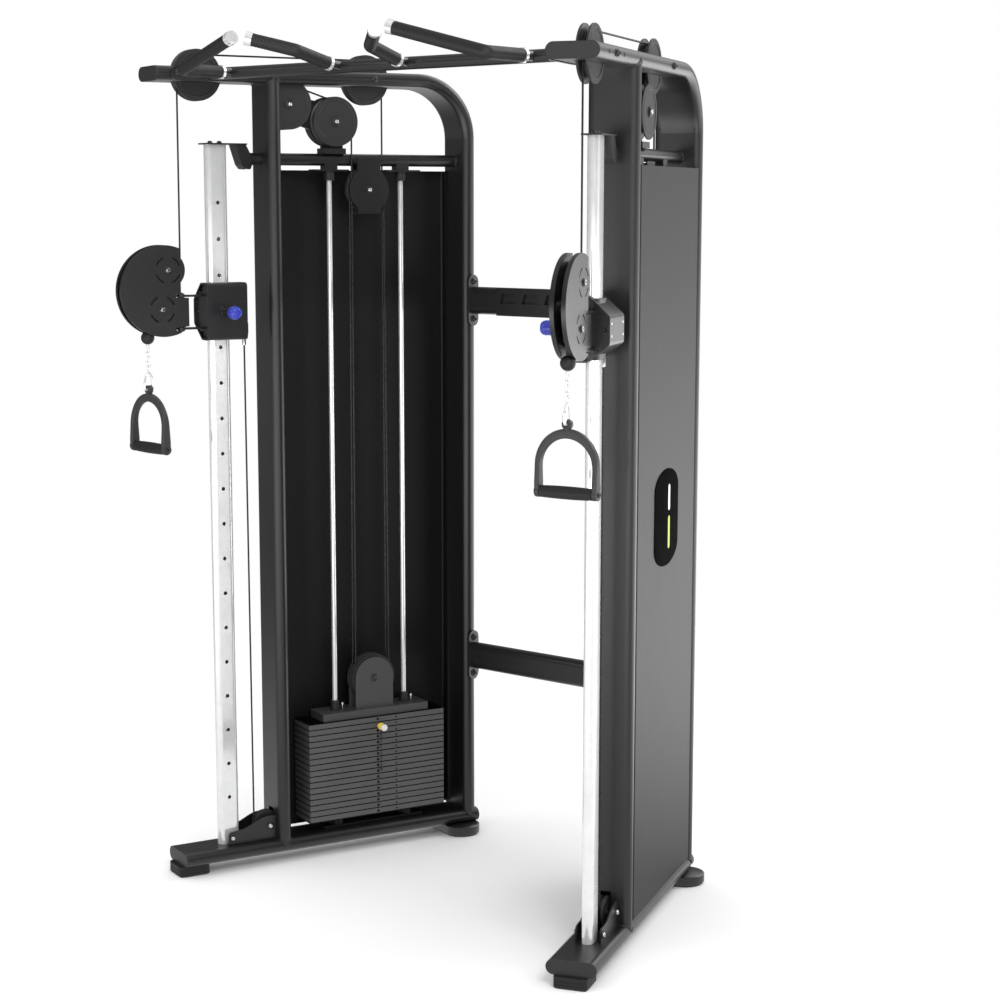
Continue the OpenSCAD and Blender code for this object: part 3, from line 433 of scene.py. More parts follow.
# ---------- cable ----------
def cable_pieces(t):
    """The cable of one tower, cut where it crosses from one body to the next."""
    s = t.side
    names = {n: f"{n}_{s}" for n in ("carriage", "swivel", "cable_end", "stack_lift")}
    up, low = t.joint("swivel_pulley_upper_spin"), t.joint("swivel_pulley_lower_spin")
    front, back = t.joint("front_pulley_spin"), t.joint("back_pulley_spin")
    hang, lift = t.joint("hanging_pulley_spin"), t.joint("lift_pulleys_spin")
    near, far, base = (t.joint(n + "_spin") for n in ("link_pulley_a", "link_pulley_b", "base_pulley"))
    ball_top = t.box("stop_ball_" + s)[2][1]
    tail = t.box("carriage_" + s)[1][1] - 0.010
    tail_z = t.joint("head_swivel").z - 0.054

    def spot(w):
        return lambda u, z: t.at(w, u, z)

    def rim(p, w, r, degrees):
        a = math.radians(degrees)
        return t.at(w, p.y + r * math.cos(a), p.z + r * math.sin(a))

    def turn(p, w, r, a0, a1):
        return arc((p.y, p.z), r, a0, a1, max(4, int(abs(a1 - a0) / 6)), spot(w))

    def lay(name, path, body, blend=None):
        verts, faces = tube(path, CABLE_R, 12)
        piece = new_piece(f"{name}_{s}", verts, faces, body, FINISH["cable_jacket"], "cable_jacket", 60, blend)
        if name == "cable_over_top":
            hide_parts("cable_" + s)

    # tangent angle of the straight run between the two swivel pulleys, which turn opposite ways
    drop = Vector((up.y - low.y, up.z - low.z))
    lean = math.degrees(math.acos((UPPER_R + LOWER_R) / drop.length) + math.atan2(drop.y, drop.x))
    lay("cable_in_head", turn(low, 0, LOWER_R, 180, lean) + turn(up, 0, UPPER_R, lean - 180, 0), names["swivel"])

    hand_top, hand_end = rim(low, 0, LOWER_R, 180), t.at(0, low.y - LOWER_R, ball_top - 0.008)
    lay("cable_hand", straight(hand_top, hand_end, 24), names["swivel"], (names["cable_end"], hand_top, hand_end))

    a, b = rim(front, 0, PULLEY_R, 180), rim(up, 0, UPPER_R, 0)
    lay("cable_front", straight(a, b, 40), "frame", (names["carriage"], a, b))
    lay("cable_over_top", turn(front, 0, PULLEY_R, 180, 90) + turn(back, 0, PULLEY_R, 90, 0), "frame")

    falls = [(rim(back, 0, PULLEY_R, 0), rim(lift, 0, PULLEY_R, 0)),
             (rim(hang, HANG_W, PULLEY_R, 180), rim(lift, 0, PULLEY_R, 180)),
             (rim(hang, HANG_W, PULLEY_R, 0), rim(lift, -LINK_W, PULLEY_R, 0)),
             (rim(far, -LINK_W, PULLEY_R, 0), rim(lift, -LINK_W, PULLEY_R, 180))]
    for i, (top, bottom) in enumerate(falls):
        lay(f"cable_fall_{i + 1}", straight(top, bottom, 40), "frame", (names["stack_lift"], top, bottom))
    for w, tag in ((0, "outer"), (-LINK_W, "inner")):
        lay("cable_lift_" + tag, turn(lift, w, PULLEY_R, 180, 360), names["stack_lift"])
    lay("cable_hang", turn(hang, HANG_W, PULLEY_R, 0, 180), "frame")

    slope = math.degrees(math.atan2(far.z - near.z, far.y - near.y)) + 90
    lay("cable_link", turn(far, -LINK_W, PULLEY_R, 0, slope) + turn(near, -LINK_W, PULLEY_R, slope, 180)
        + turn(base, 0, BASE_R, 0, -180), "frame")
    a, b = rim(base, 0, BASE_R, 180), t.at(0, tail, tail_z)
    lay("cable_rear", straight(a, b, 60), "frame", (names["carriage"], a, b))


# ---------- fasteners ----------
def screw_head(centre, out, d, washer=0.0):
    """Button head with a hexagon socket, facing out, lifted by the thickness of its washer."""
    side = out.orthogonal().normalized()
    other = out.cross(side)

    def place(x, y, h):
        return centre + side * x + other * y + out * h

    steps = 36
    dome = [(0.50, 0.0), (0.50, 0.12), (0.465, 0.24), (0.39, 0.33), (0.29, 0.385)]
    rings = [[place(r * d * math.cos(a), r * d * math.sin(a), washer + h * d)
              for a in (2 * math.pi * k / steps for k in range(steps))] for r, h in dome]
    for flat, h in ((0.225, 0.385), (0.215, 0.16)):
        ring = []
        for k in range(steps):
            a = 2 * math.pi * k / steps
            r = flat * d / math.cos((a + math.pi / 6) % (math.pi / 3) - math.pi / 6)
            ring.append(place(r * math.cos(a), r * math.sin(a), washer + h * d))
        rings.append(ring)
    return loft(rings)


def washer_ring(centre, out, r, thick):
    """Flat washer with chamfered edges."""
    side = out.orthogonal().normalized()
    other = out.cross(side)
    profile = [(r - 0.0006, 0.0), (r, 0.0003), (r, thick - 0.0003), (r - 0.0006, thick)]
    return lathe(profile, lambda x, y, h: centre + side * x + other * y + out * h, 40)


def frame_bolts():
    """Every bolt of the fixed frame: black ones, and bright ones at the pulleys and the base guards."""
    black, bright, plugs = [], [], []

    def dark(centre, out, d):
        black.append(washer_ring(centre, out, 0.68 * d, 0.0014))
        black.append(screw_head(centre, out, d, 0.0014))

    def shiny(centre, out, d, seat):
        black.append(washer_ring(centre, out, seat, 0.0018))
        bright.append(screw_head(centre, out, d, 0.0018))

    for t in TOWERS.values():
        w, u = t.w, t.u
        column = t.box("columns")
        edge = TUBE_W / 2 + 0.0001
        for name in ("front_pulley_spin", "back_pulley_spin"):
            p = t.joint(name)
            dark(t.at(-edge, p.y, p.z), -w, 0.0145)
            dark(t.at(edge, p.y, p.z), w, 0.0165)
        front = t.joint("front_pulley_spin")
        plugs += [washer_ring(t.at(edge - 0.0011, front.y + along, front.z), w, 0.0055, 0.0014)
                  for along in (-0.062, 0.062)]
        for p, inner, outer, d, seat in ((t.joint("link_pulley_a_spin"), 0.0350, 0.0350, 0.0125, 0.0115),
                                         (t.joint("link_pulley_b_spin"), 0.0350, 0.0350, 0.0125, 0.0115),
                                         (t.joint("hanging_pulley_spin"), 0.0277, 0.0087, 0.0120, 0.0095),
                                         (t.joint("base_pulley_spin"), 0.0347, 0.0347, 0.0145, 0.0110),
                                         (Vector((0, -0.001, 0.091)), 0.0347, 0.0347, 0.0135, 0.0100)):
            shiny(t.at(-inner, p.y, p.z), -w, d, seat)
            shiny(t.at(outer, p.y, p.z), w, d, seat)
        top = t.joint("front_pulley_spin").z
        for along in (-0.132, 0.048):
            dark(t.at(-0.0742, along, top), -w, 0.0135)
        for along in (-0.014, 0.014):
            dark(t.at(0, along, column[2][1] + 0.0041), UP, 0.0125)
        bright.append(screw_head(t.at(column[0][1] - 0.0006, 0, 0.212), w, 0.006))
    lo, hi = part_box("crossbeams")
    flange, drop = 0.0081, 0.055
    for x, way in ((lo.x, 1), (hi.x, -1)):
        for middle in (lo.z + 0.075, hi.z - 0.075):
            for z in (middle - drop, middle + drop):
                dark(Vector((x + way * flange, BEAM_Y, z)), Vector((way, 0, 0)), 0.0175)
    piece = new_piece("frame_bolts", *join(bright), "frame", FINISH["zinc_steel"], "zinc_steel", 30)
    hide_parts("bolts")
    new_piece("frame_bolts_black", *join(black), "frame", FINISH["powder_black"], "powder_black", 30)
    new_piece("tube_plugs", *join(plugs), "frame", PIT, "black_plastic", 30)


def head_screws(t):
    """Screws of the moving pieces: swivel head, lift cheeks and carriage."""
    s = t.side
    bright, seats = [], []
    for name in ("swivel_pulley_upper_spin", "swivel_pulley_lower_spin"):
        p = t.joint(name)
        for way in (-1, 1):
            seats.append(washer_ring(t.at(way * 0.0200, p.y, p.z), t.w * way, 0.0105, 0.0014))
            bright.append(screw_head(t.at(way * 0.0200, p.y, p.z), t.w * way, 0.0145, 0.0014))
    new_piece("swivel_screws_" + s, *join(bright), "swivel_" + s, FINISH["zinc_steel"], "zinc_steel", 30)
    new_piece("swivel_washers_" + s, *join(seats), "swivel_" + s, FINISH["powder_black"], "powder_black", 30)
    p = t.joint("lift_pulleys_spin")
    heads = []
    for w, way in ((0.0140, 1), (-0.0330, -1)):
        heads.append(washer_ring(t.at(w, p.y, p.z), t.w * way, 0.0115, 0.0014))
        heads.append(screw_head(t.at(w, p.y, p.z), t.w * way, 0.0160, 0.0014))
    new_piece("lift_screws_" + s, *join(heads), "stack_lift_" + s, FINISH["powder_black"], "powder_black", 30)
    pivot = t.joint("head_swivel")
    heads = [screw_head(t.at(w, CARRIAGE_FRONT, pivot.z + z), -t.u, 0.0110)
             for w, z in ((0.018, 0.052), (-0.030, -0.065), (-0.030, 0.064), (0.018, -0.052), (0.038, 0.0))]
    face = t.box("carriage_" + s)[0][1]
    knob = t.box("pop_pin_" + s)[2]
    heads += [screw_head(t.at(face - 0.0004, u, (knob[0] + knob[1]) / 2 + z), t.w, 0.0068)
              for u in (-0.038, 0.058) for z in (-0.015, 0.015)]
    new_piece("carriage_screws_" + s, *join(heads), "carriage_" + s, FINISH["zinc_steel"], "zinc_steel", 30)


# ---------- welds ----------
def oval(width, depth, steps=14):
    """Flat oval outline as (across, along) pairs."""
    r = depth / 2
    reach = (width - depth) / 2
    out = []
    for way, start in ((1, -90), (-1, 90)):
        for k in range(steps + 1):
            a = math.radians(start + 180 * k / steps)
            out.append((way * reach + r * math.cos(a), r * math.sin(a)))
        span = 16
        x0, y = out[-1]
        out += [(x0 - way * 2 * reach * k / span, y) for k in range(1, span)]
    return out


def bead(path, r):
    """Rippled weld along a closed line."""
    fine = []
    for a, b in zip(path, path[1:] + path[:1]):
        n = max(1, int((b - a).length / 0.0014))
        fine += [a.lerp(b, k / n) for k in range(n)]
    ring = circle(1.0, 7)

    def section(i):
        swell = r * (1 + 0.14 * math.sin(i * 1.6) + 0.05 * math.sin(i * 0.37))
        return [(x * swell, y * swell) for x, y in ring]

    return sweep(fine, section, closed=True)


def frame_welds():
    """Weld beads where the posts, rails, top tubes and head tubes meet."""
    beads = []
    r = TUBE_T / 2
    flat = (TUBE_W - TUBE_T) / 2

    def shoulder(w):
        return math.sqrt(max(0.0, r * r - max(0.0, abs(w) - flat) ** 2))

    for t in TOWERS.values():
        rail = t.box("base_rails")
        rail_z = rail[2][0] + r
        top_z = t.joint("front_pulley_spin").z
        for u, z, way in ((POST_U, rail_z, 1), (POST_U, top_z, -1), (REAR_U, rail_z, 1)):
            path = [t.at(w * 1.004, u + a * 1.03, z + way * shoulder(w)) for w, a in oval(TUBE_W, TUBE_T)]
            beads.append(bead(path, 0.0026))
        head = t.box("head_tubes")
        z = head[2][1] - HEAD_R
        for u in (POST_U + r, REAR_U - r):
            ring = [t.at(HEAD_R * math.cos(a), u, z + HEAD_R * math.sin(a))
                    for a in (2 * math.pi * k / 40 for k in range(40))]
            beads.append(bead(ring, 0.0026))
    new_piece("frame_welds", *join(beads), "frame", FINISH["powder_black"], "powder_black", 60)


# ---------- hand grip and its chain ----------
def link(centre, length, width, wire, across):
    """One chain link standing upright in the plane of `across`."""
    r = (width - wire) / 2
    reach = (length - width) / 2
    path = []
    for way in (1, -1):
        for k in range(13):
            a = math.radians(180 * k / 12 if way > 0 else 180 + 180 * k / 12)
            path.append(centre + across * (r * math.cos(a)) + UP * (way * reach + r * math.sin(a)))
    return tube(path, wire / 2, 10, closed=True)


def grip_axes(t):
    """Eye of the hand grip, and its two level directions: along the roller and through the bow."""
    eye = Vector(JOINTS["handle_swing_" + t.side]["pos_m"])
    along = Vector(JOINTS["roller_spin_" + t.side]["axis"]).normalized()
    return eye, along, Vector((along.y, -along.x, 0))


def chain(t):
    s = t.side
    eye, along, through = grip_axes(t)
    ball = t.box("stop_ball_" + s)
    bottom = ball[2][0]
    spot = Vector((eye.x, eye.y, 0))
    ball_z = bottom + BALL_R

    def upright(x, y, h):
        return spot + along * x + through * y + UP * h

    # crimped stem under the ball, five links, then the snap link
    stem = [(0.0030, ball_z - 0.001), (0.0030, ball_z - 0.020), (0.0050, ball_z - 0.021), (0.0052, ball_z - 0.025),
            (0.0035, ball_z - 0.029)]
    parts = [lathe(stem, upright, 24)]
    pitch, first = 0.013, ball_z - 0.0335
    for i in range(5):
        a = math.radians(90 * i + 20)
        parts.append(link(spot + UP * (first - i * pitch), 0.0206, 0.0150, 0.0032,
                          along * math.cos(a) + through * math.sin(a)))
    piece = new_piece("chain_" + s, *join(parts), "cable_end_" + s, FINISH["chrome"], "chrome", 60)
    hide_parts("handle_chain_" + s)

    # snap link: pear-shaped body, gate and keeper nose, hanging in the last chain link
    wide, wire = 0.0135, 0.0034
    high = 0.046
    outline = [(0.0, 0.0), (-wide, 0.001), (-wide * 1.02, 0.018), (-wide * 0.75, 0.034), (-0.004, high),
               (0.004, high), (wide * 0.75, 0.034), (wide * 1.02, 0.018), (wide, 0.001), (0.0, 0.0)]
    corners = [eye + through * x + UP * z for x, z in outline]
    body = tube(filleted(corners, 0.0045, 6)[:-1], wire, 12, closed=True)
    gate = tube([eye + through * (wide * 1.02) + UP * z for z in (0.006, 0.017, 0.028)], wire * 1.28, 12)
    nut = tube([eye + through * (wide * 1.02) + UP * z for z in (0.010, 0.020)], wire * 1.6, 6)
    new_piece("snap_link_" + s, *join([body, gate, nut]), "cable_end_" + s, FINISH["chrome"], "chrome", 40)


def hand_grip(t):
    """Moulded bow, thick at the crown and deep at the feet, with a turned roller between its bosses."""
    s = t.side
    eye, along, through = grip_axes(t)
    inner, arm, sink, foot = 0.071, 0.013, 0.010, 0.161
    outer = inner + arm
    centre = eye - UP * (0.010 + outer)

    def spot(x, z):
        return eye + along * x + UP * z

    # centre line and half thickness of the bow, from foot to foot
    path, half = [], []
    arms = [0.004 + (foot - 0.010 - outer) * (1 - k / 8) for k in range(9)]
    for drop in arms[:-1]:
        path.append(centre - along * (inner + arm / 2) - UP * drop)
        half.append(arm / 2)
    for k in range(49):
        a = math.pi * (1 - k / 48)
        reach = -sink * math.sin(a) + math.sqrt(inner ** 2 - (sink * math.cos(a)) ** 2)
        middle = (outer + reach) / 2
        path.append(centre + along * (middle * math.cos(a)) + UP * (middle * math.sin(a)))
        half.append((outer - reach) / 2)
    for drop in arms[:-1][::-1]:
        path.append(centre + along * (inner + arm / 2) - UP * drop)
        half.append(arm / 2)

    def depth(z):
        low = eye.z - z
        if low < 0.060:
            return 0.0065 + 0.0015 * low / 0.060
        return 0.0080 + 0.0055 * min(1.0, (low - 0.060) / 0.080)

    def section(i):
        deep = depth(path[i].z)
        out = []
        for k in range(32):
            a = 2 * math.pi * k / 32
            c, d = math.cos(a), math.sin(a)
            out.append((deep * math.copysign(abs(c) ** 0.42, c), half[i] * math.copysign(abs(d) ** 0.42, d)))
        return out

    bow = sweep(path, section, side_hint=along)

    def lying(axis_mid, axis, a, b):
        return lambda x, y, h: axis_mid + axis * h + a * x + b * y

    parts = [bow]
    for way in (-1, 1):
        boss = [(0.0115, 0.0), (0.0138, 0.0006), (0.0145, 0.0022), (0.0145, 0.0108), (0.0138, 0.0124), (0.0115, 0.0130)]
        parts.append(lathe(boss, lying(spot(way * inner, -foot), along * way, through, UP), 36))
    ring = [(0.0043, -0.0062), (0.0052, -0.0070), (0.0113, -0.0070), (0.0123, -0.0060), (0.0123, 0.0060),
            (0.0113, 0.0070), (0.0052, 0.0070), (0.0043, 0.0062)]
    parts.append(lathe(ring, lying(eye, through, along, UP), 36, closed=True))
    neck = [spot(0, -0.0095), spot(0, -0.014), spot(0, -0.022)]
    parts.append(sweep(neck, lambda i: [(x * 0.75, y * (1 + 0.25 * i)) for x, y in circle(0.0085, 20)],
                       side_hint=along))
    piece = new_piece("hand_grip_" + s, *join(parts), "handle_" + s, FINISH["grip_nylon"], "grip_nylon", 45)
    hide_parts("handle_frame_" + s)
    ends = [screw_head(spot(way * outer, -foot), along * way, 0.012) for way in (-1, 1)]
    new_piece("grip_screws_" + s, *join(ends), "handle_" + s, FINISH["powder_black"], "powder_black", 30)

    length, rings = inner - 0.0003, 96
    profile = [(0.0125, -length)]
    for k in range(rings + 1):
        x = -1 + 2 * k / rings
        barrel = 0.0142 + 0.0014 * math.cos(x * math.pi / 2)
        groove = 0.0007 if 0.86 < abs(x) < 0.90 else 0.0
        ripple = 0.00022 * math.sin(x * 95) if abs(x) < 0.84 else 0.0
        profile.append((barrel - groove + ripple, x * (length - 0.0010)))
    profile.append((0.0125, length))
    roller = lathe(profile, lying(spot(0, -foot), along, through, UP), 48)
    piece = new_piece("grip_roller_" + s, *roller, "roller_" + s, FINISH["rubber"], "rubber", 50)
    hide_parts("handle_roller_" + s)


# ---------- pins ----------
def pop_pin(t):
    s = t.side
    (w0, w1), _, (z0, z1) = t.box("pop_pin_" + s)
    z = (z0 + z1) / 2

    def place(x, y, h):
        return t.at(w0 + h, x, z + y)

    knob_r = (z1 - z0) / 2
    knob = [(0.010, 0.0), (0.0125, 0.0008), (knob_r * 0.86, 0.0045), (knob_r * 0.95, 0.0085), (knob_r, 0.0125),
            (knob_r, 0.0160), (knob_r * 0.975, 0.0166), (knob_r * 0.975, 0.0180), (knob_r, 0.0186),
            (knob_r, 0.0240), (knob_r * 0.93, 0.0300), (knob_r * 0.68, 0.0365), (0.0088, 0.0370)]
    piece = new_piece("pop_pin_knob_" + s, *lathe(knob, place, 56), "pop_pin_" + s,
                      FINISH["blue_knob"], "blue_knob", 32)
    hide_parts("pop_pin_" + s)
    length = w1 - w0
    rod = [(0.0086, 0.0368), (0.0090, 0.0374), (0.0090, 0.0460), (0.0082, 0.0468), (0.0044, 0.0470),
           (0.0044, length - 0.0012), (0.0034, length)]
    new_piece("pop_pin_rod_" + s, *lathe(rod, place, 32), "pop_pin_" + s, FINISH["zinc_steel"], "zinc_steel", 32)


def selector(t):
    """Plated pin, yellow grip with an ivory button, and the cord that keeps it on the machine."""
    s = t.side
    w_end, u_mid = t.box("selector_pin_" + s)[0][0], t.box("selector_pin_" + s)[1]
    mid = sum(u_mid) / 2
    z = t.box("selector_pin_" + s)[2][1] - 0.0105

    def place(x, y, h):
        return t.at(w_end + h, mid + x, z + y)

    button = [(0.0075, 0.0), (0.0092, 0.0008), (0.0100, 0.0024), (0.0100, 0.0072), (0.0090, 0.0082), (0.0070, 0.0084)]
    piece = new_piece("selector_button_" + s, *lathe(button, place, 40), "selector_" + s, IVORY, "yellow_pin", 35)
    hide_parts("selector_pin_" + s)
    grip = [(0.0068, 0.0083)]
    for k in range(11):
        waist = 0.0010 * math.cos(math.pi * (k - 5) / 10)
        grip.append((0.0076 - waist, 0.0090 + 0.0011 * k))
    grip += [(0.0105, 0.0216), (0.0105, 0.0244), (0.0076, 0.0252), (0.0076, 0.0350), (0.0068, 0.0360)]
    new_piece("selector_grip_" + s, *lathe(grip, place, 40), "selector_" + s, FINISH["yellow_pin"], "yellow_pin", 35)
    rod = [(0.0040, 0.0355), (0.0040, 0.1085), (0.0030, 0.1098)]
    new_piece("selector_rod_" + s, *lathe(rod, place, 28), "selector_" + s, FINISH["zinc_steel"], "zinc_steel", 35)
    # coiled cord with its small weight
    top, bottom = place(0, -0.0076, 0.0235), t.box("selector_pin_" + s)[2][0]
    coil = []
    turns, drop = 34, top.z - bottom - 0.014
    for k in range(turns * 8 + 1):
        a = 2 * math.pi * k / 8
        coil.append(top + t.u * (0.0016 * math.cos(a)) + t.w * (0.0016 * math.sin(a)) - UP * (drop * k / (turns * 8)))
    weight = [(0.0020, bottom + 0.014), (0.0043, bottom + 0.0125), (0.0045, bottom + 0.002), (0.0030, bottom)]
    end = lathe(weight, lambda x, y, h: Vector((top.x, top.y, 0)) + t.u * x + t.w * y + UP * h, 20)
    new_piece("selector_cord_" + s, *join([tube(coil, 0.0007, 6), end]), "selector_" + s,
              FINISH["black_plastic"], "black_plastic", 50)


# ---------- soft and moulded parts ----------
def shrunk(outline, by):
    """The outline drawn in towards its middle by a length."""
    middle = sum(outline, Vector((0, 0, 0))) / len(outline)
    return [p + (middle - p).normalized() * by for p in outline]


def feet():
    """Grooved rubber pads under the front ends, oval levelling feet at the back."""
    rubber, caps = [], []
    for t in TOWERS.values():
        (w0, w1), (u0, _), (_, top) = t.box("feet")
        front_w, front_l = 0.045, 0.047
        mid_u = t.box("end_caps")[1][0] + 0.0715
        pad = [t.at(x * front_w, mid_u + y * front_l, 0) for x, y in ROUND_SQUARE]
        layers = [(0.0, 0.003), (0.003, 0.0), (0.0085, 0.0), (0.0095, 0.0012), (0.0110, 0.0012), (0.0120, 0.0),
                  (0.0175, 0.0), (0.0185, 0.0012), (0.0200, 0.0012), (0.0210, 0.0), (top - 0.0015, 0.0), (top, 0.0015)]
        rubber.append(loft([[p + UP * z for p in shrunk(pad, inset)] for z, inset in layers]))
        half = (w1 - w0) / 2 - 0.054
        foot = []
        for way, start in ((1, -90), (-1, 90)):
            foot += [t.at(way * half + 0.054 * math.cos(a), REAR_FOOT_U + 0.054 * math.sin(a), 0)
                     for a in (math.radians(start + 180 * k / 24) for k in range(25))]
        layers = [(0.0, 0.006), (0.0015, 0.005), (0.0058, 0.005), (0.0060, 0.003)]
        rubber.append(loft([[p + UP * z for p in shrunk(foot, inset)] for z, inset in layers]))
        layers = [(0.0060, 0.0015), (0.0072, 0.0), (top - 0.0020, 0.0), (top - 0.0004, 0.0022), (top, 0.0032)]
        caps.append(loft([[p + UP * z for p in shrunk(foot, inset)] for z, inset in layers]))
    piece = new_piece("foot_rubber", *join(rubber), "frame", FINISH["rubber"], "rubber", 35)
    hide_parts("feet")
    new_piece("foot_plates", *join(caps), "frame", FINISH["powder_black"], "powder_black", 35)


def sleeves():
    """Rubber sleeves on the pull-up grips, bent once and lightly ribbed at both ends."""
    parts = []
    top = TOWERS["right"].joint("front_pulley_spin").z
    for way in (-1, 1):
        for root, bend, tip in GRIPS:
            a, b, c = (Vector((way * p[0], p[1], top + p[2])) for p in (root, bend, tip))
            start, end = a + (b - a).normalized() * 0.008, c + (b - c).normalized() * 0.014
            path = filleted([start, b, end], 0.013, 10)
            fine = []
            for p, q in zip(path, path[1:]):
                n = max(1, int((q - p).length / 0.0020))
                fine += [p.lerp(q, k / n) for k in range(n)]
            fine.append(path[-1])
            count = len(fine)

            def section(i):
                from_end = min(i, count - 1 - i)
                r = SLEEVE_R - (0.0012 if from_end == 0 else 0.0)
                if 4 <= from_end <= 20 and from_end % 4 == 0:
                    r -= 0.0006
                return circle(r, 28)

            parts.append(sweep(fine, section))
    piece = new_piece("grip_sleeves_soft", *join(parts), "frame", FINISH["rubber"], "rubber", 50)
    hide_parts("grip_sleeves")


def side_badges():
    """Plain gloss plate on each shroud, with two accent bars and no lettering."""
    for t in TOWERS.values():
        (w0, w1), (u0, u1), (z0, z1) = t.box("badges")
        mid_u, mid_z = (u0 + u1) / 2, (z0 + z1) / 2
        half, straight_part = (u1 - u0) / 2, 0.075
        outline = []
        for way, start in ((1, 0), (-1, 180)):
            for k in range(25):
                a = math.radians(start + 180 * k / 24)
                outline.append((half * math.cos(a), way * straight_part + (z1 - mid_z - straight_part) * math.sin(a)))
        layers = [(w0, 0.0), (w1 - 0.0008, 0.0), (w1 - 0.0002, 0.0010), (w1, 0.0024)]
        rings = [[t.at(w, mid_u + y * (1 - inset / half), mid_z + z * (1 - inset / half)) for y, z in outline]
                 for w, inset in layers]
        piece = new_piece("badge_plate_" + t.side, *loft(rings), "frame", FINISH["badge_black"], "badge_black", 40)
        if t.side == "right":
            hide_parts("badges")
        for name, y, low, high, thick, paint in (("lime", 0.022, -0.086, 0.002, 0.009, ACCENT),
                                                 ("pale", 0.022, 0.016, 0.086, 0.009, IVORY)):
            bar = []
            for way, start in ((high - thick, 0), (low + thick, 180)):
                bar += [(y + thick * math.cos(a), way + thick * math.sin(a))
                        for a in (math.radians(start + 180 * k / 12) for k in range(13))]
            rings = [[t.at(w, mid_u + y, mid_z + z) for y, z in bar] for w in (w1 - 0.0002, w1 + 0.0003)]
            new_piece(f"badge_bar_{name}_{t.side}", *loft(rings), "frame", paint, "badge_black", 30)


def stack_details(t):
    """Guide bushes with their lock screws on the head plate, and the row of plugs down the plates."""
    s = t.side
    plates, lifted = t.box("weight_plates"), t.box("lift_plates_" + s)
    rods = t.box("guide_rods")[1]
    middle, half_gap = sum(rods) / 2, (rods[1] - rods[0]) / 2 - ROD_R
    top = t.box("lift_head_" + s)[2][1] - 0.1526
    bushes, screws = [], []
    for way in (-1, 1):
        def place(x, y, h, way=way):
            return t.at(x, middle + way * half_gap + y, top + h)
        ring = [(ROD_R + 0.0006, 0.0), (ROD_R + 0.0006, 0.0290), (0.0112, 0.0300), (0.0128, 0.0290), (0.0128, 0.0060),
                (0.0150, 0.0050), (0.0150, 0.0002)]
        bushes.append(lathe(ring, place, 36, closed=True))
        stud = [(0.0022, 0.0), (0.0022, 0.0150), (0.0048, 0.0152), (0.0048, 0.0210), (0.0040, 0.0216)]
        screws.append(lathe(stud, lambda x, y, h, way=way: t.at(
            x - 0.006, middle + way * half_gap + y + 0.0215, top + h), 6))
    new_piece("guide_bushes_" + s, *join(bushes), "stack_lift_" + s, FINISH["black_plastic"], "black_plastic", 35)
    new_piece("bush_screws_" + s, *join(screws), "stack_lift_" + s, FINISH["zinc_steel"], "zinc_steel", 30)
    pitch = (lifted[2][1] - lifted[2][0]) / 2
    for body, low, high, name in (("frame", plates[2][0], plates[2][1], "plate_plugs_low_"),
                                  ("stack_lift_" + s, lifted[2][0], lifted[2][1], "plate_plugs_top_")):
        plugs = []
        for i in range(round((high - low) / pitch)):
            z = low + (i + 0.5) * pitch
            plug = [(0.0030, 0.0), (0.0030, 0.0004), (0.0022, 0.0006), (0.0016, 0.0002)]
            plugs.append(lathe(plug, lambda x, y, h, z=z: t.at(plates[0][0] - h, PLUG_U + x, z + y), 16))
        new_piece(name + s, *join(plugs), body, PIT, "black_plastic", 30)


def cable_ferrules(t):
    """Crimped sleeves where the cable enters the stop ball and ends at the carriage."""
    s = t.side
    low = t.joint("swivel_pulley_lower_spin")
    ball_top = t.box("stop_ball_" + s)[2][1]
    crimp = [(0.0030, -0.003), (0.0042, 0.0), (0.0042, 0.005), (0.0036, 0.0085), (0.0030, 0.009)]
    parts = lathe(crimp, lambda x, y, h: t.at(x, low.y - LOWER_R + y, ball_top + h), 20)
    new_piece("ball_ferrule_" + s, *parts, "cable_end_" + s, FINISH["black_plastic"], "black_plastic", 35)
    tail = t.box("carriage_" + s)[1][1] - 0.010
    z = t.joint("head_swivel").z - 0.0645
    stud = [(0.0034, -0.034), (0.0055, -0.032), (0.0055, 0.0), (0.0040, 0.003), (0.0032, 0.0035)]
    parts = lathe(stud, lambda x, y, h: t.at(x, tail + y, z + h), 20)
    new_piece("tail_ferrule_" + s, *parts, "carriage_" + s, FINISH["zinc_steel"], "zinc_steel", 35)


# ---------- stage, lights and camera ----------
AMBIENT = 1.08        # even light of the studio
# brightness of the floor in reflections: around the machine, far in front, far behind, and far to the left
SWEEP_NEAR, SWEEP_FRONT, SWEEP_BACK, SWEEP_LEFT = 0.70, 2.8, 2.4, 0.20


def ray_mix(tree, ray, first, second):
    """Chooses between two shaders by the kind of ray that arrives."""
    path = tree.nodes.new("ShaderNodeLightPath")
    mix = tree.nodes.new("ShaderNodeMixShader")
    tree.links.new(path.outputs[ray], mix.inputs["Fac"])
    tree.links.new(first, mix.inputs[1])
    tree.links.new(second, mix.inputs[2])
    return mix.outputs["Shader"]


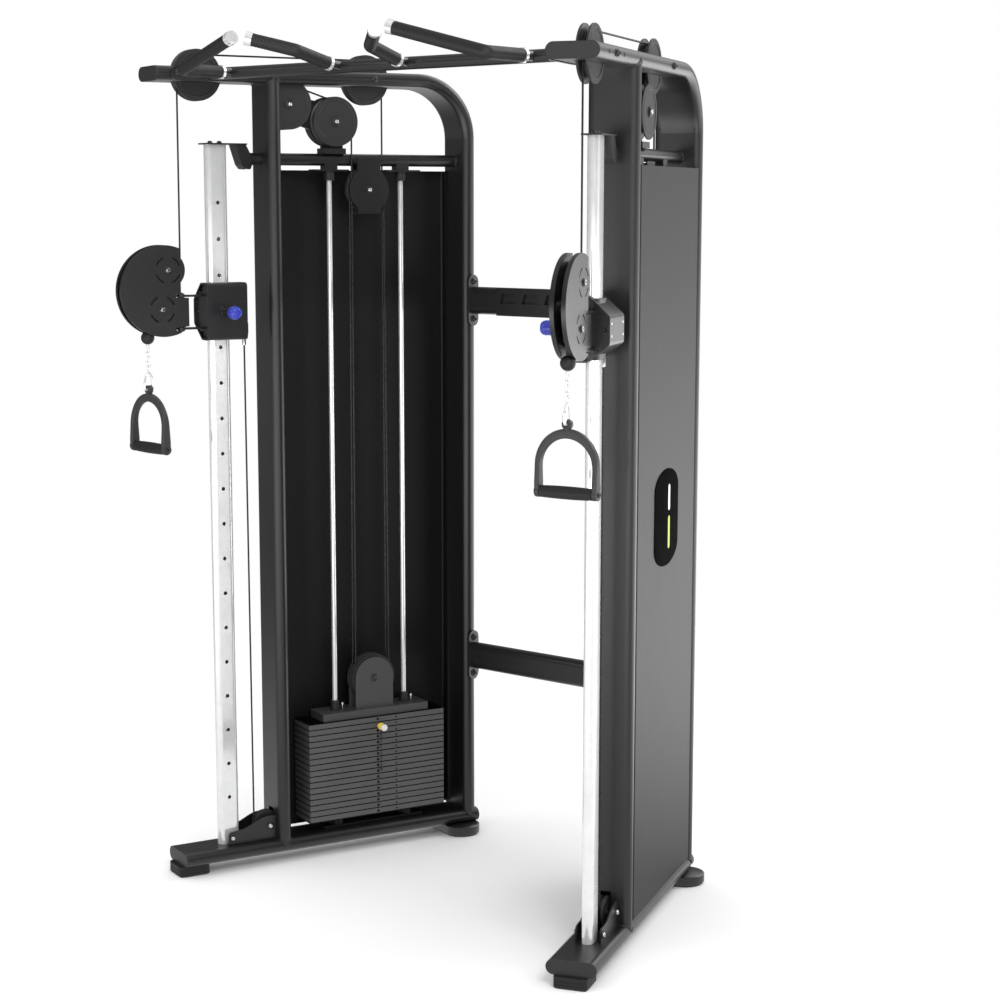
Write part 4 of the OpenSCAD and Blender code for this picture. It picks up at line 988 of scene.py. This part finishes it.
def pale_floor():
    """Matt and pale. In reflections it is brighter in front and behind, and dark on the left."""
    half = 60.0
    mesh = bpy.data.meshes.new("floor")
    mesh.from_pydata([(-half, -half, 0), (half, -half, 0), (half, half, 0), (-half, half, 0)], [], [(0, 1, 2, 3)])
    floor = bpy.data.objects.new("floor", mesh)
    bpy.context.scene.collection.objects.link(floor)
    n = Nodes("pale_floor")
    tint = n.mix(n.spread(n.noise(2.5, 2.0), 0.0, 1.0), (0.95, 0.95, 0.95, 1), (0.96, 0.96, 0.96, 1))
    n.link(tint, n.shader.inputs["Base Color"])
    n.shader.inputs["Roughness"].default_value = 0.85
    n.shader.inputs["Specular IOR Level"].default_value = 0.15
    place = n.add("SeparateXYZ")
    n.link(n.add("TexCoord").outputs["Object"], place.inputs["Vector"])
    sweep_light = n.add("Emission")
    front = n.spread(place.outputs["Y"], SWEEP_FRONT, SWEEP_NEAR, -5.0, -2.0)
    back = n.spread(place.outputs["Y"], SWEEP_NEAR, SWEEP_BACK, 0.8, 3.0)
    brighter = n.add("Math", operation="MAXIMUM")
    n.link(front, brighter.inputs[0])
    n.link(back, brighter.inputs[1])
    lit = n.add("Math", operation="MULTIPLY")
    n.link(brighter.outputs["Value"], lit.inputs[0])
    n.link(n.spread(place.outputs["X"], SWEEP_LEFT, 1.0, -4.5, -1.0), lit.inputs[1])
    n.link(lit.outputs["Value"], sweep_light.inputs["Strength"])
    out = n.tree.nodes["Material Output"]
    # the floor melts into the white background further out
    far = n.add("VectorMath", operation="LENGTH")
    n.link(n.add("TexCoord").outputs["Object"], far.inputs[0])
    melt = n.tree.nodes.new("ShaderNodeMixShader")
    n.link(n.spread(far.outputs["Value"], 0.0, 1.0, 1.6, 5.0), melt.inputs["Fac"])
    n.link(n.shader.outputs["BSDF"], melt.inputs[1])
    n.link(n.add("BsdfTransparent").outputs["BSDF"], melt.inputs[2])
    shown = ray_mix(n.tree, "Is Glossy Ray", melt.outputs["Shader"], sweep_light.outputs["Emission"])
    n.link(shown, out.inputs["Surface"])
    mesh.materials.append(n.material)


def studio_world():
    """White to the camera, even light on matt surfaces, and in reflections dark low down and bright overhead."""
    world = bpy.data.worlds.new("studio")
    bpy.context.scene.world = world
    world.use_nodes = True
    tree = world.node_tree
    tree.nodes.clear()
    where = tree.nodes.new("ShaderNodeTexCoord")
    split = tree.nodes.new("ShaderNodeSeparateXYZ")
    ramp = tree.nodes.new("ShaderNodeValToRGB")
    stops = [(0.0, 0.06), (0.25, 0.08), (0.5, 0.20), (1.0, 0.50)]
    while len(ramp.color_ramp.elements) < len(stops):
        ramp.color_ramp.elements.new(0.5)
    for element, (place, grey) in zip(ramp.color_ramp.elements, stops):
        element.position = place
        element.color = (grey, grey, grey, 1)
    tree.links.new(where.outputs["Generated"], split.inputs["Vector"])
    tree.links.new(split.outputs["Z"], ramp.inputs["Fac"])

    def glow(strength):
        node = tree.nodes.new("ShaderNodeBackground")
        node.inputs["Color"].default_value = (1, 1, 1, 1)
        node.inputs["Strength"].default_value = strength
        return node

    def rise(axis, low, high):
        node = tree.nodes.new("ShaderNodeMapRange")
        node.inputs["From Min"].default_value, node.inputs["From Max"].default_value = low, high
        tree.links.new(split.outputs[axis], node.inputs["Value"])
        return node.outputs["Result"]

    # brighter straight behind the machine, which evens out the outer faces
    behind = tree.nodes.new("ShaderNodeMath")
    behind.operation = "MULTIPLY"
    tree.links.new(rise("X", -0.50, -0.25), behind.inputs[0])
    tree.links.new(rise("Y", 0.45, 0.70), behind.inputs[1])
    lift = tree.nodes.new("ShaderNodeMath")
    lift.operation = "MULTIPLY_ADD"
    lift.inputs[1].default_value, lift.inputs[2].default_value = 7.5, 1.0
    tree.links.new(behind.outputs["Value"], lift.inputs[0])

    reflected = glow(1.0)
    tree.links.new(ramp.outputs["Color"], reflected.inputs["Color"])
    tree.links.new(lift.outputs["Value"], reflected.inputs["Strength"])
    lit = ray_mix(tree, "Is Glossy Ray", glow(AMBIENT).outputs[0], reflected.outputs[0])
    seen = ray_mix(tree, "Is Camera Ray", lit, glow(1.0).outputs[0])
    out = tree.nodes.new("ShaderNodeOutputWorld")
    tree.links.new(seen, out.inputs["Surface"])


def softbox(name, place, target, size, watts):
    light = bpy.data.lights.new(name, "AREA")
    light.shape = "RECTANGLE"
    light.size, light.size_y = size
    light.energy = watts
    lamp = bpy.data.objects.new(name, light)
    lamp.visible_camera = False
    lamp.location = place
    lamp.rotation_euler = (Vector(target) - Vector(place)).to_track_quat("-Z", "Y").to_euler()
    bpy.context.scene.collection.objects.link(lamp)


def camera():
    """Seen from the front right at eye height, with the picture shifted to keep the posts upright."""
    data = bpy.data.cameras.new("view")
    data.lens, data.sensor_width = 76.82, 36.0
    data.shift_x, data.shift_y = 0.0125, 0.0444
    eye = bpy.data.objects.new("view", data)
    eye.location = (3.7568, -4.1309, 1.9129)
    eye.rotation_euler = [math.radians(a) for a in (80.87, 0.0, 39.734)]
    bpy.context.scene.collection.objects.link(eye)
    bpy.context.scene.camera = eye


# ---------- the whole ----------
dress_cad_nodes()
frame_bolts()
frame_welds()
feet()
sleeves()
side_badges()
for tower in TOWERS.values():
    for build in (cable_pieces, cable_ferrules, head_screws, chain, hand_grip, pop_pin, selector, stack_details):
        build(tower)
pale_floor()
studio_world()
softbox("key", (4.5, -2.5, 5.0), (0, 0, 1.1), (2.5, 2.5), 130)
softbox("fill", (-3.5, -4.5, 4.0), (0, 0, 1.1), (2.5, 2.5), 30)
softbox("rim", (2.5, 4.5, 4.5), (0, 0.3, 1.2), (3.0, 2.0), 60)
camera()
bpy.context.scene.view_settings.view_transform = "Standard"
